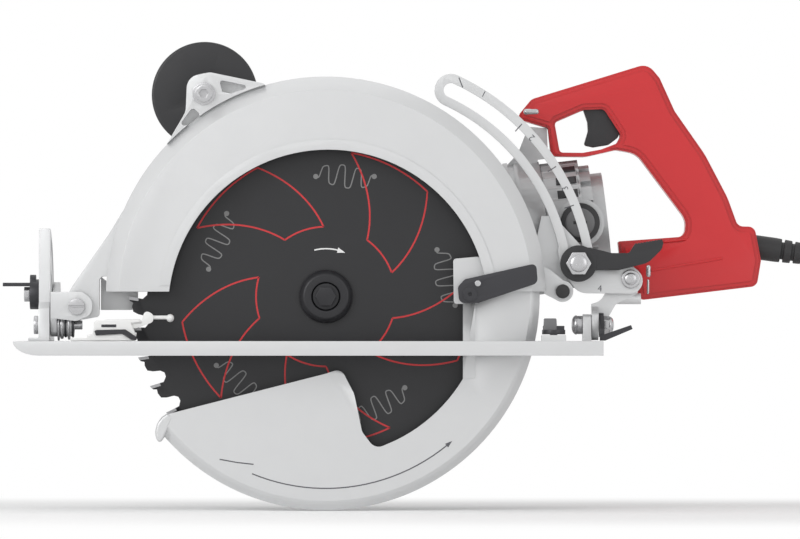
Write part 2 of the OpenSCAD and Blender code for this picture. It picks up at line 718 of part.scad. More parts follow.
module brush_caps() color(black) on_motor() for (s = [0, 1]) mirror([0, s, 0]) difference() {
  union() {
    along_y(brush_r - run, holder_end + run, cap_out - 3, brush_u, 0, 64);
    along_y(13, cap_out, cap_out + 2.5, brush_u, 0);
    along_y(brush_r - 1, cap_out - 4, cap_out + 1, brush_u, 0, 64);
  }
  translate([brush_u - 6, cap_out + 1, -0.9]) cube([12, 3, 1.8]);
}

/* Fasteners of the root */
module housing_bolts() color(steel) {
  for (a = screw_angles) {
    p = polar(screw_ring, a);
    along_y(screw_r - run, back_y - back_t, at(16), p[0], p[1], 32);
    along_y(screw_head_r, back_y - back_t + 0.1, back_y - back_t + screw_head_h - run, p[0], p[1], 32);
  }
  for (a = cover_screws) {
    p = polar(cover_screw_ring, a);
    along_y(cover_screw_r - run, at(79), case_back + cover_t + 0.2, p[0], p[1], 32);
    along_y(2.6, case_back + cover_t + run, case_back + cover_t + 2, p[0], p[1], 32);
  }
}

/* Second handle: a bracket on the guard's rim, a bolt, a disc and a grip */
aux_at = [-80.1, 171.9];
disc_t = 5;
bracket_y = [at(-14), at(13)];
bolt_aux_r = 4;
BRACKET = rounded([
  [-106, 136, 1], [-92, 160, 10], [-91, 183, 9], [-76, 186, 8],
  [-40, 178.5, 4], [-36, 170, 2], [-60, 150, 1]
]);
module pockets() for (p = [
  [[-97, 150, 2], [-87.5, 163, 2], [-82, 158, 2], [-88, 152, 2]],
  [[-70, 181, 1.5], [-48, 176.5, 1.5], [-62, 172, 1.5], [-68, 173, 1.5]]
]) polygon(rounded(p, 3));
module handle_bracket() color(magnesium) difference() {
  plate_y(bracket_y[0], bracket_y[1]) polygon(BRACKET);
  along_y(guard_r + run, bracket_y[0] - cut, bracket_y[1] + cut, 0, arbor_z);
  plate_y(bracket_y[0] - cut, bracket_y[0] + 10) pockets();
  along_y(bolt_aux_r + run, bracket_y[0] - cut, bracket_y[1] + cut, aux_at[0], aux_at[1], 48);
}
disc_y = bracket_y[1] + run;
module aux_handle_disc() color(black) difference() {
  turned_y(aux_at[0], aux_at[1]) polygon([
    [bolt_aux_r + run, disc_y], [disc_d / 2 - 1, disc_y], [disc_d / 2, disc_y + 1],
    [disc_d / 2, disc_y + disc_t - 1], [disc_d / 2 - 1.5, disc_y + disc_t],
    [bolt_aux_r + run, disc_y + disc_t]
  ]);
}
grip_y = disc_y + disc_t + run;
grip_r = grip_d / 2;
module aux_handle_grip() color(black) turned_y(aux_at[0], aux_at[1]) polygon(concat(
  [[bolt_aux_r + run, grip_y], [grip_r + 2, grip_y], [grip_r + 2, grip_y + 4]],
  [for (i = [1:9]) [grip_r - 1.5 + 1.8 * pow(sin(180 * i / 10), 1) , grip_y + 4 + (grip_l - 16) * i / 10]],
  arc([grip_r - 9, grip_y + grip_l - 10], 10, 0, 80, 6),
  [[0, grip_y + grip_l], [0, grip_y + grip_l - 18], [bolt_aux_r + run, grip_y + grip_l - 18]]
));
module aux_handle_bolt() color(steel) {
  along_y(bolt_aux_r, bracket_y[0], grip_y + grip_l - 18.2, aux_at[0], aux_at[1], 48);
  along_y(7.4, bracket_y[0] - 1.4, bracket_y[0], aux_at[0], aux_at[1]);
  difference() {
    along_y(5.6, bracket_y[0] - 6, bracket_y[0] - 1.4, aux_at[0], aux_at[1], 48);
    along_y(3, bracket_y[0] - 7, bracket_y[0] - 3, aux_at[0], aux_at[1], 6);
  }
}

/* Rear handle: two hollow shells about the motor's plane, with the trigger and the switch inside */
handle_y = at(motor_out);
HANDLE = rounded([
  [125.5, 157.2, 3], [136, 170, 7], [213, 193.6, 9], [221, 184, 5], [231, 162, 12], [251, 133.4, 60],
  [266, 104.8, 60], [273, 85.6, 5], [284, 85.4, 5], [288.3, 63, 5], [285.5, 45.9, 5], [207.5, 36.5, 4],
  [204, 56, 3], [195.35, 58.3, 1], [193.4, 75.6, 1], [237.5, 78.8, 5], [238.5, 90, 12],
  [205.5, 134, 14], [192, 136.4, 6], [171.7, 131.8, 20], [149, 132, 4], [146.9, 151, 2]
]);
TRIGGER_GAP = rounded([
  [151.2, 154.6, 3], [154.8, 134.6, 2.5], [170, 134.4, 8], [182.1, 136.6, 8], [192.5, 140.6, 4],
  [195.4, 146, 4], [184, 163.4, 4], [170.4, 162.9, 3]
]);
TRIGGER_SLOT = [[168.8, 157], [168.8, 177.5], [190, 177.5], [207, 150], [200, 138.4], [189, 137.6]];
TRIGGER = rounded([
  [176, 174.5, 4], [170.6, 162.6, 1.5], [173.2, 155, 3], [173.6, 149, 5], [170.8, 139.6, 1.5],
  [177, 138.2, 3], [187.3, 139.9, 4], [194.6, 145.4, 4], [188, 174.5, 4]
]);
trigger_at = [182, 169.5];
trigger_half = 8;
trigger_pin_r = 2;
pin_half = 15;
HANDLE_SCREWS = [[136, 161], [207.5, 182.5], [247, 124], [273, 64], [214, 52]];
handle_screw_r = 1.8;
handle_head_r = 3.4;
boss_screw_r = 4.6;
cord_slope = 8;
cord_guard_at = [284, 72.1];
sleeve_r = 8;
sleeve_l = 53;
collar_r = 10.5;
collar_t = 3;
module handle_area(inset) offset(delta = -inset) difference() {
  polygon(HANDLE);
  polygon(TRIGGER_GAP);
}
module on_cord_exit() translate([cord_guard_at[0], handle_y, cord_guard_at[1]])
  rotate([0, cord_slope, 0]) children();
// One shell, from the parting plane at 0 outwards, before it is set in place or mirrored
module handle_half_shell() difference() {
  union() {
    difference() {
      union() {
        plate_y(0, handle_half - 5) handle_area(0);
        plate_y(handle_half - 5, handle_half - 2) handle_area(1.6);
        plate_y(handle_half - 2, handle_half) handle_area(4);
      }
      plate_y(-cut, handle_half - handle_wall) handle_area(handle_wall);
    }
    for (s = HANDLE_SCREWS) along_y(boss_screw_r, 0, handle_half - handle_wall, s[0], s[1], 48);
  }
  plate_y(-cut, trigger_half + free) polygon(TRIGGER_SLOT);
  along_y(trigger_pin_r + run, -cut, pin_half + free, trigger_at[0], trigger_at[1], 32);
  for (s = HANDLE_SCREWS) along_y(handle_screw_r + 0.1, -cut, handle_half - 4, s[0], s[1], 32);
}
module handle_side(m) difference() {
  translate([0, handle_y, 0]) mirror([0, m, 0]) handle_half_shell();
  on_cord_exit() {
    along_x(sleeve_r + 0.2, -2, 20);
    along_x(collar_r + 0.2, -2 * collar_t - 0.1, -collar_t + 0.2);
  }
  if (m == 0) for (s = HANDLE_SCREWS) {
    along_y(handle_head_r + 0.1, handle_y + handle_half - 2, handle_y + handle_half + cut, s[0], s[1], 32);
    along_y(handle_screw_r + 0.1, handle_y, handle_y + handle_half + cut, s[0], s[1], 32);
  }
}
module handle_left_shell() color(red) handle_side(1);
module handle_right_shell() color(red) handle_side(0);
module handle_screws() color(steel) for (s = HANDLE_SCREWS) difference() {
  union() {
    along_y(handle_screw_r, handle_y - handle_half + 4.2, handle_y + handle_half - 1.8, s[0], s[1], 32);
    along_y(handle_head_r, handle_y + handle_half - 1.9, handle_y + handle_half - 0.2, s[0], s[1], 32);
  }
  translate([s[0] - 2.4, handle_y + handle_half - 1, s[1] - 0.5]) cube([4.8, cut + 0.9, 1]);
}
switch_l = 30;
switch_h = 16;
switch_at = [212, 160];
module switch_body() color(black)
  translate([switch_at[0], handle_y, switch_at[1]]) rotate([0, 55, 0]) {
    translate([-switch_l / 2, handle_wall - handle_half, -switch_h / 2])
      cube([switch_l, 2 * (handle_half - handle_wall), switch_h]);
  }
module trigger() color(black) {
  plate_y(handle_y - trigger_half, handle_y + trigger_half) polygon(TRIGGER);
  along_y(trigger_pin_r, handle_y - pin_half, handle_y + pin_half, trigger_at[0], trigger_at[1], 32);
}

/* Cord: sleeve, free run, coil of two layers, tie and plug, lying at the lower guard's lowest level */
floor_z = arbor_z - lower_r;
cord_r = cord_d / 2;
cord_gap = 0.6;
cord_sides = 8;
// Route of the free run in the plane of the handle, as chosen by hand
ROUTE = [
  [336.5, 64.7], [345, 63], [353.5, 59], [360.5, 53.2], [366.2, 46], [370.3, 38], [373, 29.5],
  [376.2, 11.5], [379.4, -7], [382.6, -25], [385.8, -43], [389, -61.5], [392.2, -71], [397.2, -79.7],
  [403.8, -87], [412, -92.4], [421.5, -95.8], [431.5, -97]
];
route_end_x = 446;
coil_in = 41;
coil_pitch = cord_d + cord_gap;
coil_out = coil_in + coil_turns * coil_pitch;
climb_dip = 2.5;
coil_at = [route_end_x + cord_d, handle_y + coil_out];
bottom_z = floor_z + cord_r;
turns_all = 2 * coil_turns + 0.5;
// Radius and height of the coil's line after t turns: in, up over half a turn, and out
function coil_radius(t) =
  t < coil_turns ? coil_out - t * coil_pitch
  : t < coil_turns + 0.5 ? coil_in - climb_dip * sin((t - coil_turns) * 360)
  : coil_in + (t - coil_turns - 0.5) * coil_pitch;
function coil_height(t) =
  coil_pitch * (1 - cos(180 * max(0, min(1, (t - coil_turns) * 2)))) / 2;
function coil_point(t) = [
  coil_at[0] + coil_radius(t) * cos(360 * t - 90),
  coil_at[1] + coil_radius(t) * sin(360 * t - 90),
  bottom_z + coil_height(t)
];
coil_steps = 22;
coil_line = concat(
  [coil_point(0) - [cord_d, 0, 0]],
  [for (i = [0:turns_all * coil_steps]) coil_point(i / coil_steps)],
  [coil_point(turns_all) - [cord_d, 0, 0]]
);
// Rings and faces of a tube along a line, for a line that never runs along the axis `up`
function tube_ring(line, i, r, n, up) =
  let(
    a = line[max(i - 1, 0)],
    b = line[min(i + 1, len(line) - 1)],
    t = unit(b - a),
    s = unit(cross(t, up)),
    u = cross(s, t)
  )
  [for (k = [0:n - 1]) line[i] + r * (cos(360 * k / n) * u + sin(360 * k / n) * s)];
module tube(line, r, n, up) {
  m = len(line);
  polyhedron(
    points = [for (i = [0:m - 1]) each tube_ring(line, i, r, n, up)],
    faces = concat(
      [for (k = [1:n - 2]) [0, k + 1, k]],
      [for (k = [1:n - 2]) [(m - 1) * n, (m - 1) * n + k, (m - 1) * n + k + 1]],
      [for (i = [0:m - 2], k = [0:n - 1]) each
        let(a = i * n + k, b = i * n + (k + 1) % n)
        [[a, b, b + n], [a, b + n, a + n]]]
    )
  );
}
route_line = concat([for (p = ROUTE) [p[0], handle_y, p[1]]], [[route_end_x, handle_y, bottom_z]]);
module power_cord() color(black) tube(route_line, cord_r, cord_sides, [0, 1, 0]);
module cord_coil() color(black) tube(coil_line, cord_r, 6, [0, 0, 1]);

// Least gap of the coil to itself, measured on points a quarter turn or more apart
gap_points = [for (i = [0:turns_all * 16]) coil_point(i / 16)];
coil_gap = min([for (i = [0:len(gap_points) - 1], j = [i + 4:1:len(gap_points) - 1])
  norm(gap_points[i] - gap_points[j])]) - cord_d;
echo(coil_gap = coil_gap);
function line_length(p) = [for (i = [1:len(p) - 1]) 1] * [for (i = [1:len(p) - 1]) norm(p[i] - p[i - 1])];
echo(cord_length = line_length(route_line) + line_length(coil_line));

module cord_guard() color(black) on_cord_exit() difference() {
  rotate([0, 90, 0]) union() {
    translate([0, 0, -2 * collar_t]) cylinder(r = collar_r, h = collar_t);
    translate([0, 0, -collar_t]) cylinder(r = sleeve_r, h = collar_t + 14);
    translate([0, 0, 14]) cylinder(r1 = sleeve_r, r2 = cord_r + 1.2, h = sleeve_l - 14);
  }
  for (x = [18:7:sleeve_l - 8]) difference() {
    along_x(sleeve_r + 2, x, x + 2);
    along_x(cord_r + 1, x - cut, x + 3);
  }
}

plug_at = coil_point(turns_all) - [34, 0, 0];
plug_neck = 22;
plug_l = 38;
plug_r = plug_at[2] - floor_z;
module plug_body() color(black) translate(plug_at) rotate([0, -90, 0]) {
  translate([0, 0, cord_d - 34]) cylinder(r = cord_r, h = 34 - cord_d);
  cylinder(r1 = cord_r + 1, r2 = 8, h = plug_neck);
  translate([0, 0, plug_neck]) cylinder(r1 = 8, r2 = plug_r, h = 5);
  translate([0, 0, plug_neck + 5]) cylinder(r = plug_r, h = plug_l - 5);
}
pin_l = 17;
module plug_pins() color(brass) translate(plug_at - [plug_neck + plug_l, 0, 0]) {
  for (y = [-6.35, 6.35]) translate([-pin_l, y - 0.75, -3.2]) cube([pin_l, 1.5, 6.3]);
  along_x(2.4, -pin_l - 2, 0, 0, -9.5, 32);
}

tie_w = 14;
tie_t = 1;
tie_out = coil_out + cord_r + 0.2;
tie_in = coil_in - cord_r - 0.2;
tie_top = 2 * coil_pitch + 0.4;
module cord_tie() color(black) plate_y(coil_at[1] - tie_w / 2, coil_at[1] + tie_w / 2)
  difference() {
    square_between(
      coil_at[0] + tie_in - tie_t, coil_at[0] + tie_out + tie_t, floor_z, floor_z + tie_top + tie_t);
    square_between(coil_at[0] + tie_in, coil_at[0] + tie_out, floor_z + tie_t, floor_z + tie_top);
  }
module square_between(x0, x1, z0, z1) translate([x0, z0]) square([x1 - x0, z1 - z0]);
/* Bevel frame: front clevis and rear bracket, which tilt with the saw and swing with its depth */
ear_half = 13;
knuckle_r = 7.6;
bevel_pin_r = 3;
front_plate = [-180.8, -176.8];
lock_angle = 21;
lock_stud = [blade_y + quadrant_r * cos(lock_angle), bevel_z + quadrant_r * sin(lock_angle)];
stud_r = 3.5;
quadrant_x = [-188.8, -181.4];
module front_clevis() color(magnesium) difference() {
  union() {
    for (s = [-1, 1]) translate([0, s * (ear_half + lug_half + free) / 2, 0])
      plate_y(blade_y - (ear_half - lug_half - free) / 2, blade_y + (ear_half - lug_half - free) / 2)
        polygon(rounded([
          [front_plate[0], 24.7, 0], [-163.7, 22.6, 6], [-153.5, 27, 6], [-153.3, 37, 7], [-160, 41.8, 5],
          [front_plate[0], 41.8, 0]
        ]));
    along_x(knuckle_r, front_plate[0], -166, blade_y, bevel_z);
    plate_x(front_plate[0], front_plate[1]) polygon(rounded([
      [blade_y - ear_half, 24.7, 0], [blade_y - 7, 14, 5], [blade_y + 7, 13, 5], [blade_y + 30, 24, 6],
      [lock_stud[0] + 4, 32, 8], [lock_stud[0] + 7, 44, 7], [lock_stud[0] - 4, 49, 6],
      [blade_y + 24, 41.8, 6], [blade_y - ear_half, 41.8, 0]
    ]));
  }
  along_y(pivot_r + 0.02, at(-20), at(20), pivot[0], pivot[1]);
  along_y(8.8, at(-lug_half - free), at(lug_half + free), pivot[0], pivot[1]);
  along_x(bevel_pin_r + 0.02, front_plate[0] - cut, -160, blade_y, bevel_z, 48);
  along_x(stud_r + 0.02, front_plate[0] - cut, front_plate[1] + cut, lock_stud[0], lock_stud[1], 48);
}
module depth_pivot_screw() color(steel) difference() {
  union() {
    along_y(pivot_r, at(-ear_half - 0.2), at(ear_half + 1), pivot[0], pivot[1]);
    along_y(5.4, at(-ear_half - 2.6), at(-ear_half - run), pivot[0], pivot[1]);
    along_y(6, at(ear_half + run), at(ear_half + 4), pivot[0], pivot[1], 6);
  }
  translate([pivot[0] - 6, at(-ear_half - 3.6), pivot[1] - 0.6]) cube([12, 2, 1.2]);
}

rear_axis_x = [168.8, 174.4];
rear_ear = [174.8, 179.2];
arm_pin_at = [200.6, 50.4];
arm_pin_r = 3;
bracket_arm = [at(8.5), at(13)];
ear_r = 10;
// Spring barrel across the bracket's arm
barrel_r = 3.6;
barrel_x = [188.6, 207.5];
barrel_z = 37.4;
module rear_bracket() color(magnesium) difference() {
  union() {
    along_x(ear_r, rear_ear[0], rear_ear[1], blade_y, bevel_z);
    plate_x(rear_ear[0], rear_ear[1])
      polygon([[blade_y + 2, 12], [bracket_arm[1], 18], [bracket_arm[1], 34], [blade_y - 4, 28]]);
    plate_y(bracket_arm[0], bracket_arm[1]) polygon(rounded([
      [rear_ear[0], 17, 0], [182, 18, 4], [191, 34, 6], [204, 40, 8], [210, 50, 8], [201, 60, 8],
      [190, 52, 8], [181, 36, 8], [rear_ear[0], 34, 0]
    ]));
    along_x(barrel_r, barrel_x[0], barrel_x[1], bracket_arm[0] + barrel_r, barrel_z, 48);
  }
  along_x(bevel_pin_r + 0.02, rear_ear[0] - cut, rear_ear[1] + cut, blade_y, bevel_z, 48);
  along_y(arm_pin_r + 0.02, at(0), at(20), arm_pin_at[0], arm_pin_at[1], 48);
}
module arm_rivet() color(steel) {
  along_y(arm_pin_r, arm_y[0] - 0.2, bracket_arm[1] + 0.2, arm_pin_at[0], arm_pin_at[1], 48);
  along_y(6.2, arm_y[0] - 2.2, arm_y[0] - 0.15, arm_pin_at[0], arm_pin_at[1]);
  along_y(5, bracket_arm[1] + run, bracket_arm[1] + 1.8, arm_pin_at[0], arm_pin_at[1], 48);
}

/* Depth arm: it swings on its rivet while its slot runs along the lock bolt */
arm_ratio = 0.605;
arm_y = [at(4), at(4) + arm_t];
function turned(p, c, a) =
  let(d = p - c) c + [d[0] * cos(a) + d[1] * sin(a), d[1] * cos(a) - d[0] * sin(a)];
function slot_point(t) = turned(turned(lock_at, pivot, -t), arm_pin_at, -arm_ratio * t);
slot_a = slot_point(0);
slot_m = slot_point(depth_max / 2);
slot_b = slot_point(depth_max);
// Centre of the circle through three points
function circle_centre(a, b, c) =
  let(
    d = 2 * (a[0] * (b[1] - c[1]) + b[0] * (c[1] - a[1]) + c[0] * (a[1] - b[1])),
    x = a * a * (b[1] - c[1]) + b * b * (c[1] - a[1]) + c * c * (a[1] - b[1]),
    y = a * a * (c[0] - b[0]) + b * b * (a[0] - c[0]) + c * c * (b[0] - a[0])
  ) [x, y] / d;
slot_c = circle_centre(slot_a, slot_m, slot_b);
slot_r = norm(slot_a - slot_c);
function angle_of(p) = atan2(p[1] - slot_c[1], p[0] - slot_c[0]);
slot_w = 2 * (lock_r + slot_gap);
module depth_arm() color(magnesium) difference() {
  plate_y(arm_y[0], arm_y[1]) difference() {
    union() {
      arc_band(slot_c, slot_r, arm_w, angle_of(slot_a), angle_of(slot_b), 32);
      polygon(rounded([
        [152, 72, 4], [155, 56, 10], [166, 41, 12], [206, 40.6, 9], [210, 52, 8.5], [200, 60.5, 8],
        [178, 66, 6], [172, 78, 4]
      ]));
    }
    arc_band(slot_c, slot_r, slot_w, angle_of(slot_a), angle_of(slot_b), 32);
  }
  along_y(arm_pin_r + run, at(0), at(20), arm_pin_at[0], arm_pin_at[1], 48);
}

bolt_head_af = 14.5;
module depth_lock_bolt() color(steel) {
  along_y(lock_r - run, at(-4.6), back_y + 4, lock_at[0], lock_at[1], 48);
  along_y(bolt_head_af / 2 / cos(30), at(-10), at(-4.6), lock_at[0], lock_at[1], 6);
  along_y(lock_r + 3, back_y + run, back_y + 5, lock_at[0], lock_at[1], 6);
}
DEPTH_LEVER = rounded([
  [160, 51, 6], [176, 56, 4], [193, 56.2, 10], [212, 61, 12], [221, 70, 5], [222.5, 76.6, 2],
  [203, 73.2, 2], [199.5, 67.4, 3], [188, 67.4, 6], [174, 71, 4], [159, 71, 6]
]);
module depth_lever() color(black) difference() {
  union() {
    plate_y(at(-4), at(3)) polygon(DEPTH_LEVER);
    along_y(12, at(-4.4), at(3.6), lock_at[0], lock_at[1]);
  }
  along_y(lock_r, at(-20), at(20), lock_at[0], lock_at[1], 48);
}

/* Foot: a ribbed plate with a slot for the blade and its guards */
foot_y = [at(-17) - strip_w, at(-17) - strip_w + foot_w];
slot_x = [-140, 142];
slot_y = [at(-17), at(42)];
toe_run = 17;
FOOT_SIDE = concat(
  [[-foot_front, foot_h]],
  [for (i = [0:6]) [-foot_front + toe_run - toe_run * cos(15 * i), foot_h - foot_h * sin(15 * i)]],
  [[foot_rear, 0], [foot_rear, foot_h]]
);
fence_x = [144.2, 154.2];
fence_z = 4.5;
fence_at = [(fence_x[0] + fence_x[1]) / 2, foot_y[0] + 13];
POCKETS = [
  [[-168, slot_y[1] + 6], [-60, foot_y[1] - 6]], [[-54, slot_y[1] + 6], [48, foot_y[1] - 6]],
  [[54, slot_y[1] + 6], [138, foot_y[1] - 6]], [[160, 62], [foot_rear - 6, foot_y[1] - 6]],
  [[-128, foot_y[0] + 5], [-4, slot_y[0] - 5]], [[2, foot_y[0] + 5], [134, slot_y[0] - 5]]
];
module foot_plate() color(magnesium) difference() {
  union() {
    plate_y(foot_y[0], foot_y[1]) polygon(FOOT_SIDE);
    plate_x(rear_axis_x[0], rear_axis_x[1]) polygon(rounded([
      [blade_y - 14, foot_h - 1, 0], [blade_y - 8, bevel_z + 7, 6], [blade_y + 8, bevel_z + 7, 6],
      [blade_y + 14, foot_h - 1, 0]
    ]));
    translate([fence_at[0] - 8, fence_at[1] - 9, foot_h - 1]) cube([16, 18, 5]);
  }
  translate([slot_x[0], slot_y[0], -cut])
    cube([slot_x[1] - slot_x[0], slot_y[1] - slot_y[0], foot_h + 2 * cut]);
  for (p = POCKETS) translate([p[0][0], p[0][1], foot_web])
    cube([p[1][0] - p[0][0], p[1][1] - p[0][1], foot_h]);
  translate([fence_x[0], foot_y[0] + strip_w / 2, fence_z])
    cube([fence_x[1] - fence_x[0], foot_w, foot_h - fence_z]);
  along_x(bevel_pin_r + run, rear_axis_x[0] - cut, rear_axis_x[1] + cut, blade_y, bevel_z, 48);
  translate([fence_at[0], fence_at[1], foot_h - 1]) cylinder(r = knob_pin_r + run, h = 10, $fn = 32);
}
knob_pin_r = 2.5;
knob_z = foot_h + 4.4;
module fence_knob() color(black) translate([fence_at[0], fence_at[1], 0]) {
  translate([0, 0, foot_h - 0.4]) cylinder(r = knob_pin_r, h = 6, $fn = 32);
  translate([0, 0, knob_z]) cylinder(r = 7.6, h = 3);
  translate([-7, -2.6, knob_z + 2]) cube([14, 5.2, 3.6]);
}

module bevel_quadrant() color(magnesium) difference() {
  union() {
    plate_x(quadrant_x[0], quadrant_x[1]) polygon(concat(
      [[blade_y - 13, foot_h], [blade_y - 13, bevel_z + 4], [blade_y - 10, bevel_z + 11],
        [blade_y - 3, bevel_z + 15]],
      arc([blade_y, bevel_z], quadrant_r + 6.5, 92, 8, 24), [[blade_y + quadrant_r + 6.5, foot_h]]
    ));
    translate([quadrant_x[1] - 14, blade_y - 14, foot_h]) cube([14, quadrant_r + 22, 2.2]);
  }
  plate_x(quadrant_x[0] - cut, quadrant_x[1] + cut)
    arc_band([blade_y, bevel_z], quadrant_r, 2 * stud_r + 1.4, lock_angle, lock_angle + bevel_max, 24);
  plate_x(quadrant_x[0] - cut, quadrant_x[1] + cut) polygon(rounded([
    [blade_y + 12, bevel_z + 4, 3], [blade_y + 38, bevel_z + 4, 3], [blade_y + 30, bevel_z + 30, 5],
    [blade_y + 12, bevel_z + 38, 4]
  ]));
  along_x(bevel_pin_r + run, quadrant_x[0] - cut, quadrant_x[1] + cut, blade_y, bevel_z, 48);
}

// Pivot bolts of the bevel, front and rear, and the stud and nut of the front lock
module bevel_pivot_bolts() color(steel) {
  along_x(bevel_pin_r, quadrant_x[0] - 0.2, -160.2, blade_y, bevel_z, 48);
  along_x(6, quadrant_x[0] - 3.4, quadrant_x[0] - run, blade_y, bevel_z);
  along_x(bevel_pin_r, rear_axis_x[0] - 0.2, rear_lever_x[1] + 0.2, blade_y, bevel_z, 48);
  along_x(6, rear_axis_x[0] - 4, rear_axis_x[0] - run, blade_y, bevel_z);
  along_x(6, rear_lever_x[1] + run, rear_lever_x[1] + 4, blade_y, bevel_z, 6);
  along_x(stud_r, front_lever_x[0] - 0.2, front_plate[1], lock_stud[0], lock_stud[1], 48);
  along_x(5, front_lever_x[0] - 4, front_lever_x[0] - run, lock_stud[0], lock_stud[1], 6);
}
front_lever_x = [-197, -189.2];
module front_bevel_lever() color(dark_steel) difference() {
  union() {
    along_x(10, front_lever_x[0], front_lever_x[1], lock_stud[0], lock_stud[1]);
    plate_x(front_lever_x[0], front_lever_x[0] + 4) polygon(rounded([
      [lock_stud[0] - 6, lock_stud[1] - 8, 4], [lock_stud[0] + 6, lock_stud[1] - 8, 4],
      [lock_stud[0] + 5, lock_stud[1] + 13, 5], [lock_stud[0] - 5, lock_stud[1] + 13, 5]
    ]));
    translate([front_lever_x[0] - 18, lock_stud[0] - 5, lock_stud[1] + 5.3]) cube([19, 10, 2.4]);
  }
  along_x(stud_r + run, front_lever_x[0] - 20, front_lever_x[1] + cut, lock_stud[0], lock_stud[1], 48);
}
rear_lever_x = [179.6, 182.6];
module rear_bevel_lever() color(dark_steel) difference() {
  union() {
    along_x(8, rear_lever_x[0], rear_lever_x[1], blade_y, bevel_z);
    plate_x(rear_lever_x[0], rear_lever_x[1]) polygon(rounded([
      [blade_y - 8, 22, 3], [blade_y - 26, 10, 5], [blade_y - 28, 16, 4], [blade_y - 4, 28, 3]
    ]));
    plate_y(blade_y - 29, blade_y - 20)
      polygon([[179.6, 9.8], [183, 9.8], [201, 17.4], [200, 20], [179.6, 13]]);
  }
  along_x(bevel_pin_r + run, rear_lever_x[0] - cut, rear_lever_x[1] + cut, blade_y, bevel_z, 48);
}

// Pointer that shows the line of cut, at the front of the slot
module cut_guide() color(white) translate([0, slot_y[0] - 5, 0]) {
  plate_y(0, 4.6) polygon(rounded([
    [-152, foot_h, 0], [-152, 23.4, 3], [-121, 22, 1], [-118.4, 30, 4], [-113, 27, 3], [-113, 22, 3],
    [-124, 18, 3], [-140, 17, 2], [-140, foot_h, 0]
  ]));
  along_x(1.3, -115, -103, 2.3, 25, 32);
  translate([-102, 2.3, 24.6]) sphere(r = 2.6, $fn = 32);
}

upper_guard();
guard_bumper();
handle_bracket();
aux_handle_disc();
aux_handle_grip();
aux_handle_bolt();
gear_housing();
gear_cover();
oil_plug();
motor_housing();
motor_end_cap();
field_stator();
brush_holders();
carbon_brushes();
brush_caps();
handle_left_shell();
handle_right_shell();
handle_screws();
switch_body();
cord_guard();
power_cord();
cord_coil();
plug_body();
plug_pins();
cord_tie();
housing_bolts();
depth_lock_bolt();
shaft_bearings();
guard_spring();
guard_ring();
arbor_shaft();
worm_wheel();
inner_flange();
saw_blade();
outer_flange();
blade_bolt();
armature_shaft();
armature_core();
armature_windings();
commutator();
cooling_fan();
lower_guard();
guard_lever();
guard_lever_screws();
front_clevis();
depth_pivot_screw();
rear_bracket();
arm_rivet();
depth_arm();
foot_plate();
bevel_quadrant();
bevel_pivot_bolts();
cut_guide();
depth_lever();
front_bevel_lever();
rear_bevel_lever();
trigger();
spindle_lock();
fence_knob();
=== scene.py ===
"""Looks of the worm drive circular saw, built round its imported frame.

Metres, +X to the rear handle, +Y from the blade to the motor, +Z up, and the underside of the foot at z = 0.
Sizes below are in millimetres, as on a drawing, and MM turns them into metres.
"""

import json
import math

import bmesh
import bpy
import numpy as np
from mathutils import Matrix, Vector


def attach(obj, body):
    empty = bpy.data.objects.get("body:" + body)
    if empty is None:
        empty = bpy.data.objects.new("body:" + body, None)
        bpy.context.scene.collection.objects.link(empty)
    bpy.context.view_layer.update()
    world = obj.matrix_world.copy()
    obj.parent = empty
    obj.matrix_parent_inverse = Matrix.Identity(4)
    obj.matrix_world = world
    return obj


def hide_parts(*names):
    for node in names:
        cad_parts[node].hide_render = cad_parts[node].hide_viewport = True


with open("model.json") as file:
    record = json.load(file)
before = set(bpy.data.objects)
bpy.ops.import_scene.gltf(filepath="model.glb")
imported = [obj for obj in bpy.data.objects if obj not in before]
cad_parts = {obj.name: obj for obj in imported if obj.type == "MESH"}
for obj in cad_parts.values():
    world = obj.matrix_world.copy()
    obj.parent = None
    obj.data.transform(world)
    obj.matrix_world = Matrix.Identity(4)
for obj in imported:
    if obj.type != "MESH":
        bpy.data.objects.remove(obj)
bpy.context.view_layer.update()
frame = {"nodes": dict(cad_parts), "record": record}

MM = 0.001
BODY_OF = {node: body for body, nodes in frame["record"]["behaviour"]["bodies"].items() for node in nodes}

# Places shared with the frame
BLADE_Y = 30.0
ARBOR = np.array([0.0, 38.8])
BLADE_FACE = BLADE_Y - 0.9
MOTOR_Y = BLADE_Y + 59.0
MOTOR_TILT = math.radians(6.5)
WORM_AT = np.array([-3.34, 89.0, 68.1])
LOWER_R = 140.5
FLOOR_Z = ARBOR[1] - LOWER_R

# The photograph's frame: how wide it is at the blade, and the point at its middle
FRAME_W = 526.4
FRAME_MIDDLE = (48.7, 56.6)
# The camera's height, and its distance from the blade
EYE_Z = 14.0
EYE_DISTANCE = 5500.0


# Camera


def make_camera():
    """Looks straight along +Y, level with the foot, and is shifted up to the photograph's frame."""
    data = bpy.data.cameras.new("camera")
    camera = bpy.data.objects.new("camera", data)
    bpy.context.scene.collection.objects.link(camera)
    camera.location = Vector((FRAME_MIDDLE[0], BLADE_Y - EYE_DISTANCE, EYE_Z)) * MM
    camera.rotation_euler = (math.radians(90), 0, 0)
    data.sensor_width = 36.0
    data.lens = data.sensor_width * EYE_DISTANCE / FRAME_W
    data.shift_y = (FRAME_MIDDLE[1] - EYE_Z) / FRAME_W
    data.clip_start, data.clip_end = 0.05, 50.0
    bpy.context.scene.camera = camera


make_camera()


# Meshes


def new_object(name, verts, faces, smooth=True):
    """A mesh object at the origin from points in millimetres."""
    mesh = bpy.data.meshes.new(name)
    mesh.from_pydata((np.asarray(verts, float) * MM).tolist(), [], [list(map(int, f)) for f in faces])
    mesh.polygons.foreach_set("use_smooth", [smooth] * len(mesh.polygons))
    mesh.validate()
    piece = bpy.data.objects.new(name, mesh)
    bpy.context.scene.collection.objects.link(piece)
    return piece


